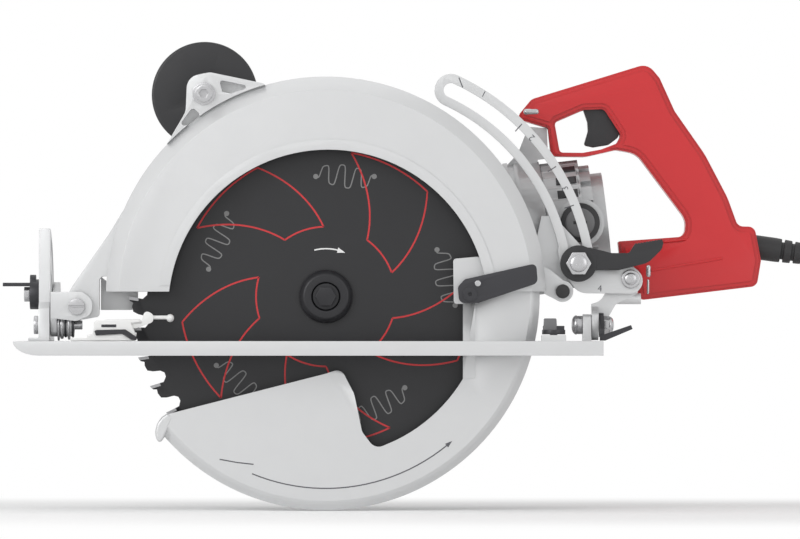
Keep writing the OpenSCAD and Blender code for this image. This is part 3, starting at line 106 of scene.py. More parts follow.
def grid_faces(nu, nv, wrap_u=False, wrap_v=False):
    """Quads of a grid whose point (i, j) has the number i * nv + j."""
    i, j = np.meshgrid(np.arange(nu - (not wrap_u)), np.arange(nv - (not wrap_v)), indexing="ij")
    i, j = i.ravel(), j.ravel()
    i2, j2 = (i + 1) % nu, (j + 1) % nv
    return np.stack([i * nv + j, i * nv + j2, i2 * nv + j2, i2 * nv + j], 1)


def turned_y(name, profile, centre, n):
    """A profile of [radius, y] turned about the line along Y through centre, which is (x, z).

    The point at angle a has x = centre x + radius cos a, and z = centre z + radius sin a.
    """
    profile = np.asarray(profile, float)
    a = np.linspace(0, 2 * math.pi, n, endpoint=False)
    r, y = profile[:, 0], profile[:, 1]
    points = np.empty((n, len(profile), 3))
    points[..., 0] = centre[0] + np.cos(a)[:, None] * r
    points[..., 1] = y
    points[..., 2] = centre[1] + np.sin(a)[:, None] * r
    return outward(new_object(name, points.reshape(-1, 3), grid_faces(n, len(profile), wrap_u=True)))


def outward(piece):
    """Merges doubled points and turns every face outwards."""
    bm = bmesh.new()
    bm.from_mesh(piece.data)
    bmesh.ops.remove_doubles(bm, verts=bm.verts, dist=1e-6)
    bmesh.ops.recalc_face_normals(bm, faces=bm.faces)
    bm.to_mesh(piece.data)
    bm.free()
    return piece


def prism_y(name, outline, y0, y1):
    """An outline of [x, z] carried from y0 to y1, with both ends closed."""
    outline = np.asarray(outline, float)
    n = len(outline)
    front = np.column_stack([outline[:, 0], np.full(n, y0), outline[:, 1]])
    back = np.column_stack([outline[:, 0], np.full(n, y1), outline[:, 1]])
    sides = grid_faces(2, n, wrap_v=True)
    faces = list(sides) + [range(n), range(n, 2 * n)]
    return outward(new_object(name, np.vstack([front, back]), faces, smooth=False))


def ribbon_outline(path, width):
    """Both edges of a band along a line of [x, z]: each point moved half a width along the line's normal."""
    path = np.asarray(path, float)
    t = np.gradient(path, axis=0)
    t /= np.linalg.norm(t, axis=1)[:, None] + 1e-12
    normal = np.column_stack([-t[:, 1], t[:, 0]]) * width / 2
    return np.vstack([path + normal, (path - normal)[::-1]])


def joined(name, pieces):
    """One object from several, all at the origin."""
    bm = bmesh.new()
    for piece in pieces:
        bm.from_mesh(piece.data)
    mesh = bpy.data.meshes.new(name)
    bm.to_mesh(mesh)
    bm.free()
    for piece in pieces:
        bpy.data.objects.remove(piece)
    whole = bpy.data.objects.new(name, mesh)
    bpy.context.scene.collection.objects.link(whole)
    return whole


def placed(piece, material, body):
    """Gives a piece its finish and lets it ride its body."""
    piece.data.materials.clear()
    piece.data.materials.append(material)
    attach(piece, body)
    return piece


# Cord

CORD_D = 9.5
CORD_EXIT = (336.5, 64.7)
ROUTE = [
    CORD_EXIT, (345, 63), (353.5, 59), (360.5, 53.2), (366.2, 46), (370.3, 38), (373, 29.5),
    (376.2, 11.5), (379.4, -7), (382.6, -25), (385.8, -43), (389, -61.5), (392.2, -71), (397.2, -79.7),
    (403.8, -87), (412, -92.4), (421.5, -95.8), (431.5, -97),
]
ROUTE_END_X = 446.0
COIL_IN = 41.0
COIL_PITCH = CORD_D + 0.6
COIL_TURNS = 3
COIL_OUT = COIL_IN + COIL_TURNS * COIL_PITCH
COIL_AT = (ROUTE_END_X + CORD_D, MOTOR_Y + COIL_OUT)
CLIMB_DIP = 2.5
PLUG_RUN = 34.0


def coil_line(steps=48):
    """The coil's line: t turns round COIL_AT, inwards, up over half a turn, then out one layer higher."""
    turns = 2 * COIL_TURNS + 0.5
    t = np.linspace(0, turns, int(turns * steps) + 1)
    climb = np.clip((t - COIL_TURNS) * 2, 0, 1)
    inwards = COIL_OUT - t * COIL_PITCH
    upwards = COIL_IN - CLIMB_DIP * np.sin(np.pi * climb)
    outwards = COIL_IN + (t - COIL_TURNS - 0.5) * COIL_PITCH
    r = np.where(t < COIL_TURNS, inwards, np.where(climb < 1, upwards, outwards))
    a = 2 * np.pi * t - np.pi / 2
    z = FLOOR_Z + CORD_D / 2 + COIL_PITCH * (1 - np.cos(np.pi * climb)) / 2
    return np.column_stack([COIL_AT[0] + r * np.cos(a), COIL_AT[1] + r * np.sin(a), z])


def through(points, steps=5):
    """A smooth line through points: on each span, a cubic whose slope at a point is half the step across it.

    At part t of a span from b to c, with a before it and d after it, it is half of
    2b + (c - a)t + (2a - 5b + 4c - d)t^2 + (3b - a - 3c + d)t^3.
    """
    p = np.vstack([2 * points[0] - points[1], points, 2 * points[-1] - points[-2]])
    a, b, c, d = p[:-3, None], p[1:-2, None], p[2:-1, None], p[3:, None]
    t = np.linspace(0, 1, steps, endpoint=False)[None, :, None]
    line = 0.5 * (2 * b + (c - a) * t + (2 * a - 5 * b + 4 * c - d) * t**2 + (3 * b - a - 3 * c + d) * t**3)
    return np.vstack([line.reshape(-1, points.shape[1]), points[-1]])


def cord_path():
    """The whole cord in millimetres: the route, the coil, and a straight run to the plug."""
    route = np.array([(x, MOTOR_Y, z) for x, z in ROUTE])
    coil = coil_line()
    tail = coil[-1] - np.array([PLUG_RUN, 0, 0])
    return np.vstack([through(np.vstack([route, coil[0] - [CORD_D, 0, 0]])), coil, tail])


def make_cord():
    """A round curve along the route, the coil and the tail, as one spline."""
    path = cord_path() * MM
    curve = bpy.data.curves.new("flex", "CURVE")
    curve.dimensions = "3D"
    curve.bevel_depth = CORD_D * MM / 2
    curve.bevel_resolution = 5
    spline = curve.splines.new("POLY")
    spline.points.add(len(path) - 1)
    spline.points.foreach_set("co", np.column_stack([path, np.ones(len(path))]).ravel())
    spline.use_smooth = True
    piece = bpy.data.objects.new("flex", curve)
    bpy.context.scene.collection.objects.link(piece)
    length = float(np.linalg.norm(np.diff(path, axis=0), axis=1).sum())
    return piece, length


flex, flex_length = make_cord()


# Finishes

ROUGH_SPREAD = 0.15
RELIEF_DEPTH = 0.0002
BROADER = 30
COAT_ROUGH = 0.15


def finish(name, colour, rough, metal=0.0, grain=400.0, bump=0.1, patch=0.04, coat=0.0, stretch=(1, 1, 1)):
    """A procedural finish: fine noise makes the grain's bump and roughness, broad noise shifts the tone."""
    material = bpy.data.materials.new(name)
    material.use_nodes = True
    tree = material.node_tree
    nodes, links = tree.nodes, tree.links
    nodes.clear()
    out = nodes.new("ShaderNodeOutputMaterial")
    shader = nodes.new("ShaderNodeBsdfPrincipled")
    links.new(shader.outputs["BSDF"], out.inputs["Surface"])
    shader.inputs["Metallic"].default_value = metal
    shader.inputs["Coat Weight"].default_value = coat
    shader.inputs["Coat Roughness"].default_value = COAT_ROUGH
    place = nodes.new("ShaderNodeTexCoord")
    turn = nodes.new("ShaderNodeMapping")
    turn.inputs["Scale"].default_value = stretch
    links.new(place.outputs["Object"], turn.inputs["Vector"])
    fine = noise(nodes, links, turn, grain, 3.0)
    broad = noise(nodes, links, turn, grain / BROADER, 2.0)
    tone = nodes.new("ShaderNodeMix")
    tone.data_type = "RGBA"
    tone.inputs["A"].default_value = (*[c * (1 - patch) for c in colour], 1)
    tone.inputs["B"].default_value = (*[min(1, c * (1 + patch)) for c in colour], 1)
    links.new(broad.outputs["Fac"], tone.inputs["Factor"])
    links.new(tone.outputs["Result"], shader.inputs["Base Color"])
    spread = nodes.new("ShaderNodeMapRange")
    spread.inputs["To Min"].default_value = rough * (1 - ROUGH_SPREAD)
    spread.inputs["To Max"].default_value = min(1, rough * (1 + ROUGH_SPREAD))
    links.new(fine.outputs["Fac"], spread.inputs["Value"])
    links.new(spread.outputs["Result"], shader.inputs["Roughness"])
    relief = nodes.new("ShaderNodeBump")
    relief.inputs["Strength"].default_value = bump
    relief.inputs["Distance"].default_value = RELIEF_DEPTH
    links.new(fine.outputs["Fac"], relief.inputs["Height"])
    links.new(relief.outputs["Normal"], shader.inputs["Normal"])
    return material


def noise(nodes, links, place, scale, detail):
    """A noise texture at that scale, read at place."""
    node = nodes.new("ShaderNodeTexNoise")
    node.inputs["Scale"].default_value = scale
    node.inputs["Detail"].default_value = detail
    links.new(place.outputs["Vector"], node.inputs["Vector"])
    return node


SILVER = finish("silver_casting", (0.62, 0.625, 0.63), 0.34, metal=0.35, grain=1800, bump=0.06, patch=0.02)
ROUGH_CASTING = finish("rough_casting", (0.46, 0.465, 0.47), 0.4, metal=0.4, grain=900, bump=0.25, patch=0.05)
STEEL = finish("plated_steel", (0.5, 0.5, 0.51), 0.26, metal=0.8, grain=900, bump=0.05, patch=0.03)
DARK_STEEL = finish("black_steel", (0.045, 0.045, 0.05), 0.38, metal=0.5, grain=900, bump=0.12, patch=0.1)
BLADE_BLACK = finish(
    "blade_coating", (0.016, 0.016, 0.018), 0.36, metal=0.1, grain=1500, bump=0.05, patch=0.1)
HUB_BLACK = finish("hub_steel", (0.022, 0.022, 0.025), 0.4, metal=0.3, grain=900, bump=0.1, patch=0.1)
CARBIDE = finish("carbide", (0.42, 0.42, 0.43), 0.3, metal=0.9, grain=2500, bump=0.1, patch=0.08)
RED = finish("red_plastic", (0.56, 0.014, 0.018), 0.32, grain=1500, bump=0.1, patch=0.03, coat=0.15)
BLACK = finish("black_plastic", (0.018, 0.018, 0.02), 0.42, grain=1600, bump=0.2, patch=0.1)
RUBBER = finish("rubber", (0.02, 0.02, 0.021), 0.55, grain=900, bump=0.2, patch=0.1)
BRASS = finish("brass", (0.62, 0.45, 0.2), 0.3, metal=1.0, grain=900, bump=0.1)
COPPER = finish("enamelled_wire", (0.55, 0.2, 0.08), 0.35, metal=0.8, grain=900, bump=0.2, stretch=(1, 8, 1))
DULL_STEEL = finish("laminations", (0.25, 0.25, 0.26), 0.5, metal=0.9, grain=900, bump=0.2, stretch=(8, 1, 1))
WHITE = finish("white_plastic", (0.8, 0.8, 0.79), 0.4, grain=900, bump=0.08, patch=0.02)
RED_INK = finish("red_ink", (0.55, 0.025, 0.03), 0.45, grain=900, bump=0.02)
GREY_INK = finish("grey_ink", (0.2, 0.2, 0.2), 0.5, grain=900, bump=0.02)
WHITE_INK = finish("white_ink", (0.75, 0.75, 0.75), 0.5, grain=900, bump=0.02)
DARK_INK = finish("dark_ink", (0.09, 0.09, 0.1), 0.5, grain=900, bump=0.02)


# Pieces that keep the frame's shape

SHARP = math.radians(28.0)
FLAT = math.radians(0.4)


def dressed(node, material, width, segments, rejoin=True):
    """A copy of a node's mesh, merged, with every edge sharper than SHARP rounded by width.

    rejoin makes each flat face whole first. A face with a hole through it stays as triangles instead.
    """
    source = frame["nodes"][node]
    bm = bmesh.new()
    bm.from_mesh(source.data)
    bmesh.ops.remove_doubles(bm, verts=bm.verts, dist=2e-6)
    if rejoin:
        bmesh.ops.dissolve_limit(
            bm, angle_limit=FLAT, verts=bm.verts, edges=bm.edges, use_dissolve_boundaries=False)
    mesh = bpy.data.meshes.new(node + "_piece")
    bm.to_mesh(mesh)
    bm.free()
    mesh.polygons.foreach_set("use_smooth", [rejoin or abs(face.normal.y) < 0.999 for face in mesh.polygons])
    piece = bpy.data.objects.new(node + "_piece", mesh)
    bpy.context.scene.collection.objects.link(piece)
    if width:
        bevel = piece.modifiers.new("edges", "BEVEL")
        bevel.width = width * MM
        bevel.segments = segments
        bevel.limit_method = "ANGLE"
        bevel.angle_limit = SHARP
        bevel.harden_normals = True
        bevel.use_clamp_overlap = True
    else:
        mesh.set_sharp_from_angle(angle=SHARP)
    placed(piece, material, BODY_OF[node])
    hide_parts(node)
    return piece


# Nodes whose mesh is copied: the finish, the rounding's width, 0 for none, its steps, and rejoin
ROUNDED = {
    "upper_guard": (SILVER, 1.6, 4), "lower_guard": (SILVER, 0, 3, False), "handle_bracket": (SILVER, 1.0, 3),
    "gear_housing": (ROUGH_CASTING, 1.2, 3), "gear_cover": (ROUGH_CASTING, 1.0, 3),
    "motor_housing": (ROUGH_CASTING, 0.7, 2), "motor_end_cap": (ROUGH_CASTING, 0.8, 3),
    "front_clevis": (SILVER, 0.9, 3), "rear_bracket": (SILVER, 0.7, 3), "depth_arm": (SILVER, 0.5, 3),
    "foot_plate": (SILVER, 0.6, 3), "bevel_quadrant": (SILVER, 0.6, 3),
    "handle_left_shell": (RED, 1.1, 3), "handle_right_shell": (RED, 1.1, 3), "trigger": (BLACK, 0.8, 3),
    "aux_handle_disc": (BLACK, 0.6, 3), "aux_handle_bolt": (STEEL, 0.4, 2), "oil_plug": (STEEL, 0.5, 2),
    "brush_caps": (BLACK, 0.5, 3), "outer_flange": (HUB_BLACK, 1.0, 4), "blade_bolt": (HUB_BLACK, 0.6, 3),
    "guard_lever": (DARK_STEEL, 0.4, 3), "guard_lever_screws": (STEEL, 0.3, 2),
    "depth_lever": (BLACK, 0.9, 3), "depth_lock_bolt": (STEEL, 0.6, 3), "depth_pivot_screw": (STEEL, 0.4, 3),
    "arm_rivet": (STEEL, 0.7, 3), "bevel_pivot_bolts": (STEEL, 0.5, 3), "handle_screws": (STEEL, 0.25, 2),
    "housing_bolts": (STEEL, 0.3, 2), "front_bevel_lever": (DARK_STEEL, 0.6, 3),
    "rear_bevel_lever": (DARK_STEEL, 0.5, 3), "cut_guide": (WHITE, 0.5, 3),
    "fence_knob": (DARK_STEEL, 0.6, 3), "spindle_lock": (BLACK, 0.6, 3),
    "guard_bumper": (RUBBER, 0.6, 3), "cord_guard": (RUBBER, 0.4, 2),
    "plug_body": (RUBBER, 0.8, 3), "plug_pins": (BRASS, 0.3, 2), "cord_tie": (RUBBER, 0.3, 2),
    "saw_blade": (BLADE_BLACK, 0, 1, False), "aux_handle_grip": (BLACK, 0.8, 3),
}
# Nodes inside the saw, whose own mesh is kept
PLAIN = {
    "field_stator": DULL_STEEL, "brush_holders": BRASS, "carbon_brushes": BLACK, "switch_body": BLACK,
    "shaft_bearings": STEEL, "guard_spring": STEEL, "guard_ring": STEEL, "arbor_shaft": STEEL,
    "worm_wheel": BRASS, "inner_flange": STEEL, "armature_shaft": STEEL, "armature_core": DULL_STEEL,
    "armature_windings": COPPER, "commutator": COPPER, "cooling_fan": BLACK,
}

dressed_pieces = {node: dressed(node, *look) for node, look in ROUNDED.items()}
for node, material in PLAIN.items():
    for slot in frame["nodes"][node].material_slots:
        slot.material = material

flex.data.materials.append(RUBBER)
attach(flex, BODY_OF["power_cord"])
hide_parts("power_cord", "cord_coil")


# Blade: tips and printed lines

TEETH = 40
BLADE_R = 130.0
HALF_KERF = 1.33
# A tip's corners: how deep below the tips' circle, and at what part of the pitch
TIP = [(-0.02, -0.005), (0.5, 0.1), (6.6, 0.155), (6.6, 0.055)]
# How far printed lines stand proud of their face, and how far they reach into it
INK = 0.06
SUNK = 0.02


def polar(r, degrees):
    """[x, z] at radius r and an angle about the arbor."""
    a = np.radians(degrees)
    return np.column_stack([ARBOR[0] + r * np.cos(a), ARBOR[1] + r * np.sin(a)])


def blade_tips():
    """A carbide block on each tooth: TIP's corners carried across the kerf."""
    blocks = []
    for tooth in range(TEETH):
        outline = np.vstack([polar(BLADE_R - d, (tooth + part) * 360 / TEETH) for d, part in TIP])
        blocks.append(prism_y("tip", outline, BLADE_Y - HALF_KERF, BLADE_Y + HALF_KERF))
    return joined("carbide_tips", blocks)


def printed(name, path, width, face_y, thick=INK):
    """A thin printed line: a band along path that stands proud of the face at face_y by thick."""
    return prism_y(name, ribbon_outline(path, width), face_y - thick, face_y + SUNK)


def dot(name, centre, r, face_y, thick):
    """A thin printed disc with 24 sides."""
    t = np.radians(np.linspace(0, 345, 24))
    rim = np.column_stack([centre[0] + r * np.cos(t), centre[1] + r * np.sin(t)])
    return prism_y(name, rim, face_y - thick, face_y + SUNK)


# The swept panels: how many, where the first begins, their arcs' radii, lean and width in degrees, and line
SWEPT = 5
SWEPT_START = 20.0
INNER_ARC, OUTER_ARC = 46.0, 96.0
LEAN = 26
SPAN = 34
PANEL_LINE = 1.1


def swept_outline(start):
    """A swept panel: two arcs about the arbor, joined by sides whose angle grows in step with the radius."""
    r = np.linspace(INNER_ARC, OUTER_ARC, 16)
    lean = LEAN * (r - INNER_ARC) / (OUTER_ARC - INNER_ARC)
    side_a = polar(r, start + lean)
    outer = polar(OUTER_ARC, np.linspace(start + LEAN, start + LEAN + SPAN, 20))
    side_b = polar(r[::-1], start + SPAN + lean[::-1])
    inner = polar(INNER_ARC, np.linspace(start + SPAN, start, 14))
    return [side_a, outer, side_b, inner]


def blade_lines():
    """The red outlines of the swept panels."""
    lines = []
    for i in range(SWEPT):
        outline = swept_outline(i * 360 / SWEPT + SWEPT_START)
        lines += [printed("line", side, PANEL_LINE, BLADE_FACE) for side in outline]
    return joined("blade_lines", lines)


SLOT_R = 80.0
SLOT_START = 81
SLOT_HALF = 19.0
SLOT_WAVE = 10.8
SLOT_SWING = 7.5
SLOT_NARROWS = 52
SLOT_LINE = 0.75
SLOT_HOLE_R = 1.7
SLOT_INK, HOLE_INK = 0.03, 0.04


def damping_slots():
    """Winding slots with a round hole at each end.

    At s along the tangent, the radius swings by
    SLOT_SWING tanh(2.4 sin(2 pi s / SLOT_WAVE)) cos(pi s / SLOT_NARROWS).
    The tanh flattens the crests, and the cosine draws the ends in.
    """
    pieces = []
    s = np.linspace(-SLOT_HALF, SLOT_HALF, 120)
    wave = np.tanh(2.4 * np.sin(2 * np.pi * s / SLOT_WAVE)) * SLOT_SWING * np.cos(np.pi * s / SLOT_NARROWS)
    for i in range(SWEPT):
        angle = SLOT_START + i * 360 / SWEPT
        radial = np.array([math.cos(math.radians(angle)), math.sin(math.radians(angle))])
        along = np.array([-radial[1], radial[0]])
        centre = ARBOR + radial * SLOT_R
        path = centre + s[:, None] * along + wave[:, None] * radial
        pieces.append(printed("slot", path, SLOT_LINE, BLADE_FACE, SLOT_INK))
        pieces += [dot("hole", path[k], SLOT_HOLE_R, BLADE_FACE, HOLE_INK) for k in (0, -1)]
    return joined("damping_slots", pieces)


def turn_arrow(name, r, start, end, width, face_y):
    """An arc about the arbor with a plain arrow head at its end, 6 line widths long and 4 wide."""
    line = printed(name, polar(r, np.linspace(start, end, 24)), width, face_y)
    step = math.copysign(1, end - start)
    tip = polar(r, end + math.degrees(step * 6 * width / r))[0]
    base = polar(np.array([r - 2 * width, r + 2 * width]), end)
    return joined(name, [line, prism_y("head", [tip, base[0], base[1]], face_y - INK, face_y + SUNK)])


placed(blade_tips(), CARBIDE, "arbor")
placed(blade_lines(), RED_INK, "arbor")
placed(damping_slots(), GREY_INK, "arbor")
placed(turn_arrow("blade_arrow", 31.5, 104, 76, 0.9, BLADE_FACE), WHITE_INK, "arbor")

# Lower guard: the arrow in its face
GUARD_FACE = BLADE_Y - 14.0
placed(turn_arrow("guard_arrow", 126.0, 247.4, 309.0, 0.8, GUARD_FACE), DARK_INK, "lower_guard")
GUARD_ARROW_TAIL = [(-69.7, -68.1), (-58, -70.2), (-47.4, -71.4)]
placed(printed("guard_arrow_tail", GUARD_ARROW_TAIL, 0.8, GUARD_FACE), DARK_INK, "lower_guard")


# Depth arm: its scale

ARM_FACE = BLADE_Y + 4.0
NUMBER_SIZE = 6.0
ARM_NUMBERS = {
    "1": ((104.0, 172.5), 152), "2": ((135.6, 143.5), 132),
    "3": ((157.5, 110.0), 112), "4": ((180.3, 44.0), 0),
}
ARM_TICKS = [
    ((87.5, 183.0), (90.0, 176.5)), ((129.0, 152.5), (124.6, 147.6)),
    ((151.5, 124.5), (146.0, 121.0)), ((163.2, 99.0), (157.0, 97.0)),
]


def arm_number(text, place, turn):
    """A plain numeral as a thin solid on the arm's near face, turned by turn degrees and read from -Y."""
    font = bpy.data.curves.new("number", "FONT")
    font.body = text
    font.size = NUMBER_SIZE
    font.align_x = font.align_y = "CENTER"
    font.extrude = INK / 2
    holder = bpy.data.objects.new("number", font)
    bpy.context.scene.collection.objects.link(holder)
    mesh = bpy.data.meshes.new_from_object(holder.evaluated_get(bpy.context.evaluated_depsgraph_get()))
    bpy.data.objects.remove(holder)
    flat = np.empty(len(mesh.vertices) * 3)
    mesh.vertices.foreach_get("co", flat)
    flat = flat.reshape(-1, 3)
    c, s = math.cos(math.radians(turn)), math.sin(math.radians(turn))
    solid = np.column_stack([
        place[0] + flat[:, 0] * c - flat[:, 1] * s,
        ARM_FACE - flat[:, 2],
        place[1] + flat[:, 0] * s + flat[:, 1] * c,
    ])
    mesh.vertices.foreach_set("co", (solid * MM).ravel())
    piece = bpy.data.objects.new("arm_number_" + text, mesh)
    bpy.context.scene.collection.objects.link(piece)
    return placed(outward(piece), DARK_INK, "depth_arm")


for text, (place, turn) in ARM_NUMBERS.items():
    arm_number(text, place, turn)
ticks = [printed("tick", tick, 0.7, ARM_FACE) for tick in ARM_TICKS]
placed(joined("arm_ticks", ticks), DARK_INK, "depth_arm")


# Motor: brush cap's disc, and the fins of the end


def on_motor(points):
    """Points of the motor's own frame, X along its axis and origin at the worm, turned up by MOTOR_TILT."""
    points = np.asarray(points, float)
    c, s = math.cos(MOTOR_TILT), math.sin(MOTOR_TILT)
    u, y, v = points[..., 0], points[..., 1], points[..., 2]
    return np.stack([u * c - v * s, y, u * s + v * c], -1) + WORM_AT


BRUSH_U = 172.0
# The brush cap's face from the motor's axis: its seat on the housing and its own height
CAP_FACE = 42.8 + 2.4
brush_at = on_motor([BRUSH_U, 0, 0])[[0, 2]]
disc_y = MOTOR_Y - CAP_FACE
DISC_GREY = finish("grey_disc", (0.16, 0.16, 0.165), 0.5, grain=900, bump=0.15)
BRUSH_DISC = [(0.01, -0.5), (8.6, -0.5), (9.6, -0.1), (9.8, 0.3), (0.01, 0.3)]
brush_disc = [(r, disc_y + depth) for r, depth in BRUSH_DISC]
placed(turned_y("brush_disc", brush_disc, brush_at, 64), DISC_GREY, "saw_body")
# A black cross just proud of the brush cap's face: painted shade in place of the cap's recessed slots.
cross = [
    prism_y("slot", brush_at + np.array([(-u, -v), (u, -v), (u, v), (-u, v)]), disc_y - 0.62, disc_y)
    for u, v in ((4.5, 1), (1, 4.5))]
placed(joined("brush_slot_shade", cross), BLACK, "saw_body")

MOTOR_R = 44.0
CAP_U = (150.6, 175.4)
RIM_OUT, RIM_IN = MOTOR_R - 1.6, MOTOR_R - 7
FINS = 30
FIN_DEPTH = 3.6


def end_fins():
    """The end cap's rim: radius by angle a and station u along the motor.

    The fins follow |cos(FINS a / 2)| to the power 1.2, and fade out over a ninth of the length at each end.
    """
    a = np.linspace(0, 2 * np.pi, FINS * 10, endpoint=False)[:, None]
    u = np.linspace(CAP_U[0], CAP_U[1], 22)[None, :]
    fin = np.abs(np.cos(a * FINS / 2)) ** 1.2
    w = (u - CAP_U[0]) / (CAP_U[1] - CAP_U[0])
    fade = np.clip(w * 9, 0, 1) * np.clip((1 - w) * 9, 0, 1)
    outer_r = RIM_OUT - FIN_DEPTH * (1 - fin) * fade
    inner_r = np.full_like(outer_r, RIM_IN)
    outer, inner = [
        on_motor(np.stack([u + 0 * a, r * np.cos(a), r * np.sin(a)], -1)) for r in (outer_r, inner_r)]
    ring = np.concatenate([outer, inner[:, ::-1]], 1)
    return outward(new_object("end_fins", ring.reshape(-1, 3), grid_faces(len(a), ring.shape[1], True, True)))


placed(end_fins(), ROUGH_CASTING, "saw_body")


VENT_U = (159.5, 173.0)
VENT_R = (MOTOR_R - 1.2, MOTOR_R - 3)
VENT_ANGLES = ((24, 32), (39, 47), (55, 63))


def painted_vent_shade():
    """Painted shade for the openings between the cap's upper ribs: thick black patches on a cylinder about
    the motor's axis, with no holes behind them.

    The point at station u and angle a is (u, -r cos a, r sin a), on a grid, for an outer and an inner r.
    """
    nu, na = 8, 10
    number = np.arange(nu * na).reshape(nu, na)
    rim = [*number[:, 0], *number[-1, 1:], *number[-2::-1, -1], *number[0, -2:0:-1]]
    rows = []
    for low, high in VENT_ANGLES:
        u, a = np.meshgrid(np.linspace(*VENT_U, nu), np.radians(np.linspace(low, high, na)), indexing="ij")
        both = [on_motor(np.stack([u, -r * np.cos(a), r * np.sin(a)], -1)) for r in VENT_R]
        walls = [(p, q, q + u.size, p + u.size) for p, q in zip(rim, rim[1:] + rim[:1])]
        faces = [*grid_faces(nu, na), *(grid_faces(nu, na) + u.size), *walls]
        rows.append(outward(new_object("shaded_vent_patch", np.concatenate(both).reshape(-1, 3), faces)))
    return joined("painted_vent_shade", rows)


# Black patches on the end cap: painted shade that stands in for the dark openings between its upper ribs.
placed(painted_vent_shade(), BLACK, "saw_body")


# Handle: its two moulded ridges


def capsule(name, a, b, r, n=16):
    """A round bar from a to b: a circle carried along the axis, whose radius shrinks by cos t at the ends."""
    a, b = np.asarray(a, float), np.asarray(b, float)
    t = (b - a) / np.linalg.norm(b - a)
    side = np.cross(t, [0, 1, 0] if abs(t[1]) < 0.9 else [0, 0, 1])
    side /= np.linalg.norm(side)
    up = np.cross(side, t)
    ends = np.linspace(0, np.pi / 2, 7)
    along = np.concatenate([-r * np.cos(ends), np.linalg.norm(b - a) + r * np.sin(ends)])
    radius = np.concatenate([r * np.sin(ends), r * np.cos(ends)])
    w = np.linspace(0, 2 * np.pi, n, endpoint=False)
    ring = np.cos(w)[None, :, None] * side + np.sin(w)[None, :, None] * up
    points = a + along[:, None, None] * t + radius[:, None, None] * ring
    return outward(new_object(name, points.reshape(-1, 3), grid_faces(len(along), n, wrap_v=True)))


HANDLE_FACE = MOTOR_Y - 17.0
RIDGES = (((216, 56.4), (262, 64.2), 0.2), ((224, 75.4), (262, 79.2), 1.9))
ridges = [
    capsule("ridge", (a[0], HANDLE_FACE + depth, a[1]), (b[0], HANDLE_FACE + depth, b[1]), 0.9)
    for a, b, depth in RIDGES]
placed(joined("handle_ridges", ridges), RED, "saw_body")


# Small hardware

BEVEL_Z = 20.1


def reach(node):
    """Lowest and highest corner of a node, in millimetres."""
    source = frame["nodes"][node]
    corners = np.array([source.matrix_world @ Vector(corner) for corner in source.bound_box])
    return corners.min(0) / MM, corners.max(0) / MM


def turned_x(name, along, radius, centre, n, closed=False):
    """A profile turned about the line along X through centre: y = cy + r cos w, z = cz + r sin w."""
    w = np.linspace(0, 2 * np.pi, n, endpoint=False)
    points = np.empty((n, len(along), 3))
    points[..., 0] = centre[0] + along
    points[..., 1] = centre[1] + np.cos(w)[:, None] * radius
    points[..., 2] = centre[2] + np.sin(w)[:, None] * radius
    faces = grid_faces(n, len(along), wrap_u=True, wrap_v=closed)
    return outward(new_object(name, points.reshape(-1, 3), faces))


def dome_x(name, centre, r, height):
    """A domed head that points along X: at t of a quarter turn, height sin t out and r cos t^0.8 wide."""
    t = np.linspace(0, np.pi / 2, 12)
    along = np.concatenate([[0], height * np.sin(t)])
    radius = np.concatenate([[0.01], r * np.cos(t) ** 0.8 + 0.01])
    return turned_x(name, along, radius, centre, 48)


def washer_x(x, r_in, r_out, width):
    """A ring round the bevel axis, its section a box whose outer edge is rounded by a half circle."""
    t = np.linspace(-np.pi / 2, np.pi / 2, 9)
    edge = min(width / 2, 0.8)
    along = np.concatenate([[-width / 2], (width / 2 - edge) * np.sign(t) + edge * np.sin(t), [width / 2]])
    radius = np.concatenate([[r_in], r_out - edge + edge * np.cos(t), [r_in]])
    return turned_x("washer", along, radius, (x, BLADE_Y, BEVEL_Z), 64, closed=True)


def crown_y(name, node, r, height):
    """A dome on a head's near face: at t of a quarter turn, height sin t out and r cos t wide.

    Its rim lies 0.1 mm inside the head.
    """
    low, high = reach(node)
    t = np.linspace(0, np.pi / 2, 12)
    radius = np.concatenate([[0.01], r * np.cos(t) + 0.01])
    depth = np.concatenate([[low[1] + 0.3], low[1] + 0.1 - height * np.sin(t)])
    middle = ((low[0] + high[0]) / 2, (low[2] + high[2]) / 2)
    return turned_y(name, np.stack([radius, depth], axis=1), middle, 64)


def softened(piece, width, segments=3):
    """Rounds the sharp edges of a made-up block."""
    bevel = piece.modifiers.new("edges", "BEVEL")
    bevel.width = width * MM
    bevel.segments = segments
    bevel.limit_method = "ANGLE"
    bevel.angle_limit = math.radians(30)
    bevel.harden_normals = True
    piece.data.polygons.foreach_set("use_smooth", [True] * len(piece.data.polygons))
    return piece


# Cut guide: its moulded body and the dark slide on it
guide_front = reach("cut_guide")[0][1]
GUIDE_BODY = [
    (-167.5, 9.6), (-167.5, 11.4), (-156.4, 11.4), (-156.2, 13.6), (-152.6, 14.2), (-151.8, 22.2),
    (-143.2, 23.6), (-122.0, 24.0), (-120.5, 21.6), (-127.2, 21.2), (-124.6, 14.5), (-124.6, 9.6),
]
guide_body = prism_y("guide_body", GUIDE_BODY, guide_front - 1.5, guide_front + 6)
placed(softened(guide_body, 1.2), WHITE, "foot")
GUIDE_SLIDE = [
    (-151.5, 16.2), (-150.6, 13.2), (-133.4, 14.3), (-127.4, 10.4), (-123.8, 10.2), (-123.8, 12.2),
    (-131.2, 17.2), (-150.6, 16.8),
]
guide_slide = prism_y("guide_slide", GUIDE_SLIDE, guide_front - 3.2, guide_front - 1.2)
placed(softened(guide_slide, 0.5), DARK_STEEL, "foot")
GUIDE_SCREW = [(-147, 18.6), (-137.2, 18.6), (-137.2, 20.4), (-147, 20.4)]
guide_screw = prism_y("guide_screw", GUIDE_SCREW, guide_front - 1.9, guide_front - 1)
placed(softened(guide_screw, 0.3), DARK_STEEL, "foot")
